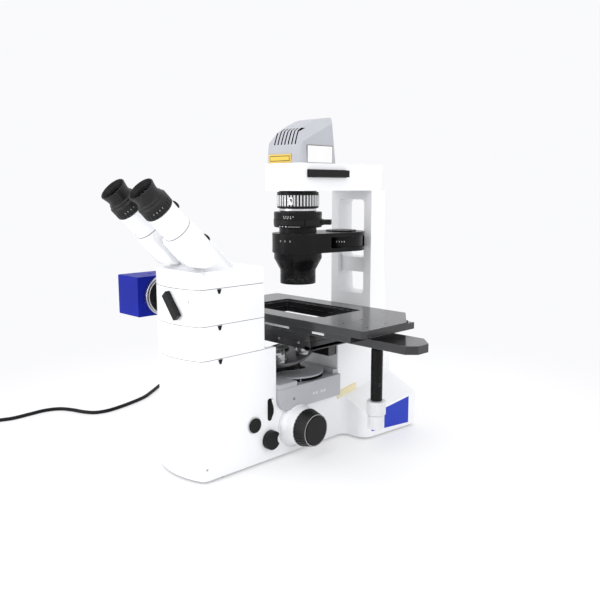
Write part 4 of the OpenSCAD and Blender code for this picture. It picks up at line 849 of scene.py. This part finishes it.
def add_strain_relief():
    """Tapered sleeve with four ribs where the cord leaves its connector."""
    profile = [(4.6, 0), (6.2, 0.8), (6.0, 4), (4.9, 4.6), (5.8, 5.2), (5.5, 9), (4.6, 9.6), (5.3, 10.2),
               (5.0, 14), (4.3, 14.6), (4.8, 15.2), (4.5, 19), (4.0, 19.6), (4.3, 20.2), (3.9, 25),
               (3.5, 26)]
    place = axes((-84, 213, 34), (1, 0, 0), (0, 0, -1), (0, 1, 0))
    add("strain_relief", lathe(profile, 32), rubber, "stand", place)


add_cord()

# Floor, backdrop and soft studio light
PALE = (0.955, 0.955, 0.975)


def seen_straight(tree):
    """1 for rays from the camera, a mirror or glass, 0 for the light that falls on the object."""
    rays = tree.nodes.new("ShaderNodeLightPath").outputs
    direct, mirrored, through = (Wire(tree, rays[name]) for name in
                                 ("Is Camera Ray", "Is Glossy Ray", "Is Transmission Ray"))
    return direct.at_least(mirrored).at_least(through)


def add_floor():
    mesh = bpy.data.meshes.new("floor")
    form = bmesh.new()
    bmesh.ops.create_grid(form, x_segments=1, y_segments=1, size=30)
    form.to_mesh(mesh)
    form.free()
    floor = bpy.data.objects.new("floor", mesh)
    scene.collection.objects.link(floor)
    made, shader, place = new_material("pale_floor")
    feed(shader.inputs["Base Color"], noise(place, 2.0).blend((0.9, 0.9, 0.91), (0.92, 0.92, 0.925)))
    shader.inputs["Roughness"].default_value = 0.6
    # the floor takes on the backdrop's tone away from the object
    far = place.node("ShaderNodeVectorMath", {0: place}, output=1, operation="LENGTH").above(0.25, 0.95)
    share = seen_straight(place.tree) * (far * 0.6 + 0.4)
    glow = place.node("ShaderNodeEmission", {"Color": PALE, "Strength": 1.0})
    lit = Wire(place.tree, shader.outputs[0])
    mixed = place.node("ShaderNodeMixShader", {0: share, 1: lit, 2: glow})
    feed(place.tree.nodes["Material Output"].inputs["Surface"], mixed)
    mesh.materials.append(made)


def add_sky():
    world = bpy.data.worlds.new("studio")
    world.use_nodes = True
    tree = world.node_tree
    light = tree.nodes["Background"]
    light.inputs["Color"].default_value = (1, 1, 1, 1)
    light.inputs["Strength"].default_value = 1.0
    straight = seen_straight(tree)
    plain = straight.node("ShaderNodeBackground", {"Color": PALE, "Strength": 1.0})
    mixed = straight.node("ShaderNodeMixShader", {0: straight, 1: Wire(tree, light.outputs[0]), 2: plain})
    feed(tree.nodes["World Output"].inputs["Surface"], mixed)
    scene.world = world


def add_lamps():
    # name, place, width and watts
    lamps = (("key", (0.6, -1.5, 1.7), 1.2, 10), ("side", (1.8, 0.2, 1.2), 1.2, 7),
             ("fill", (-0.5, -1.9, 0.6), 1.4, 12), ("top", (-0.4, 0.3, 2.2), 1.6, 6))
    middle = Vector((0, -0.05, 0.25))
    for name, place, size, power in lamps:
        data = bpy.data.lights.new(name, "AREA")
        data.size = size
        data.energy = power
        lamp = bpy.data.objects.new(name, data)
        lamp.location = place
        lamp.rotation_euler = (middle - Vector(place)).to_track_quat("-Z", "Y").to_euler()
        scene.collection.objects.link(lamp)


add_floor()
add_sky()
add_lamps()
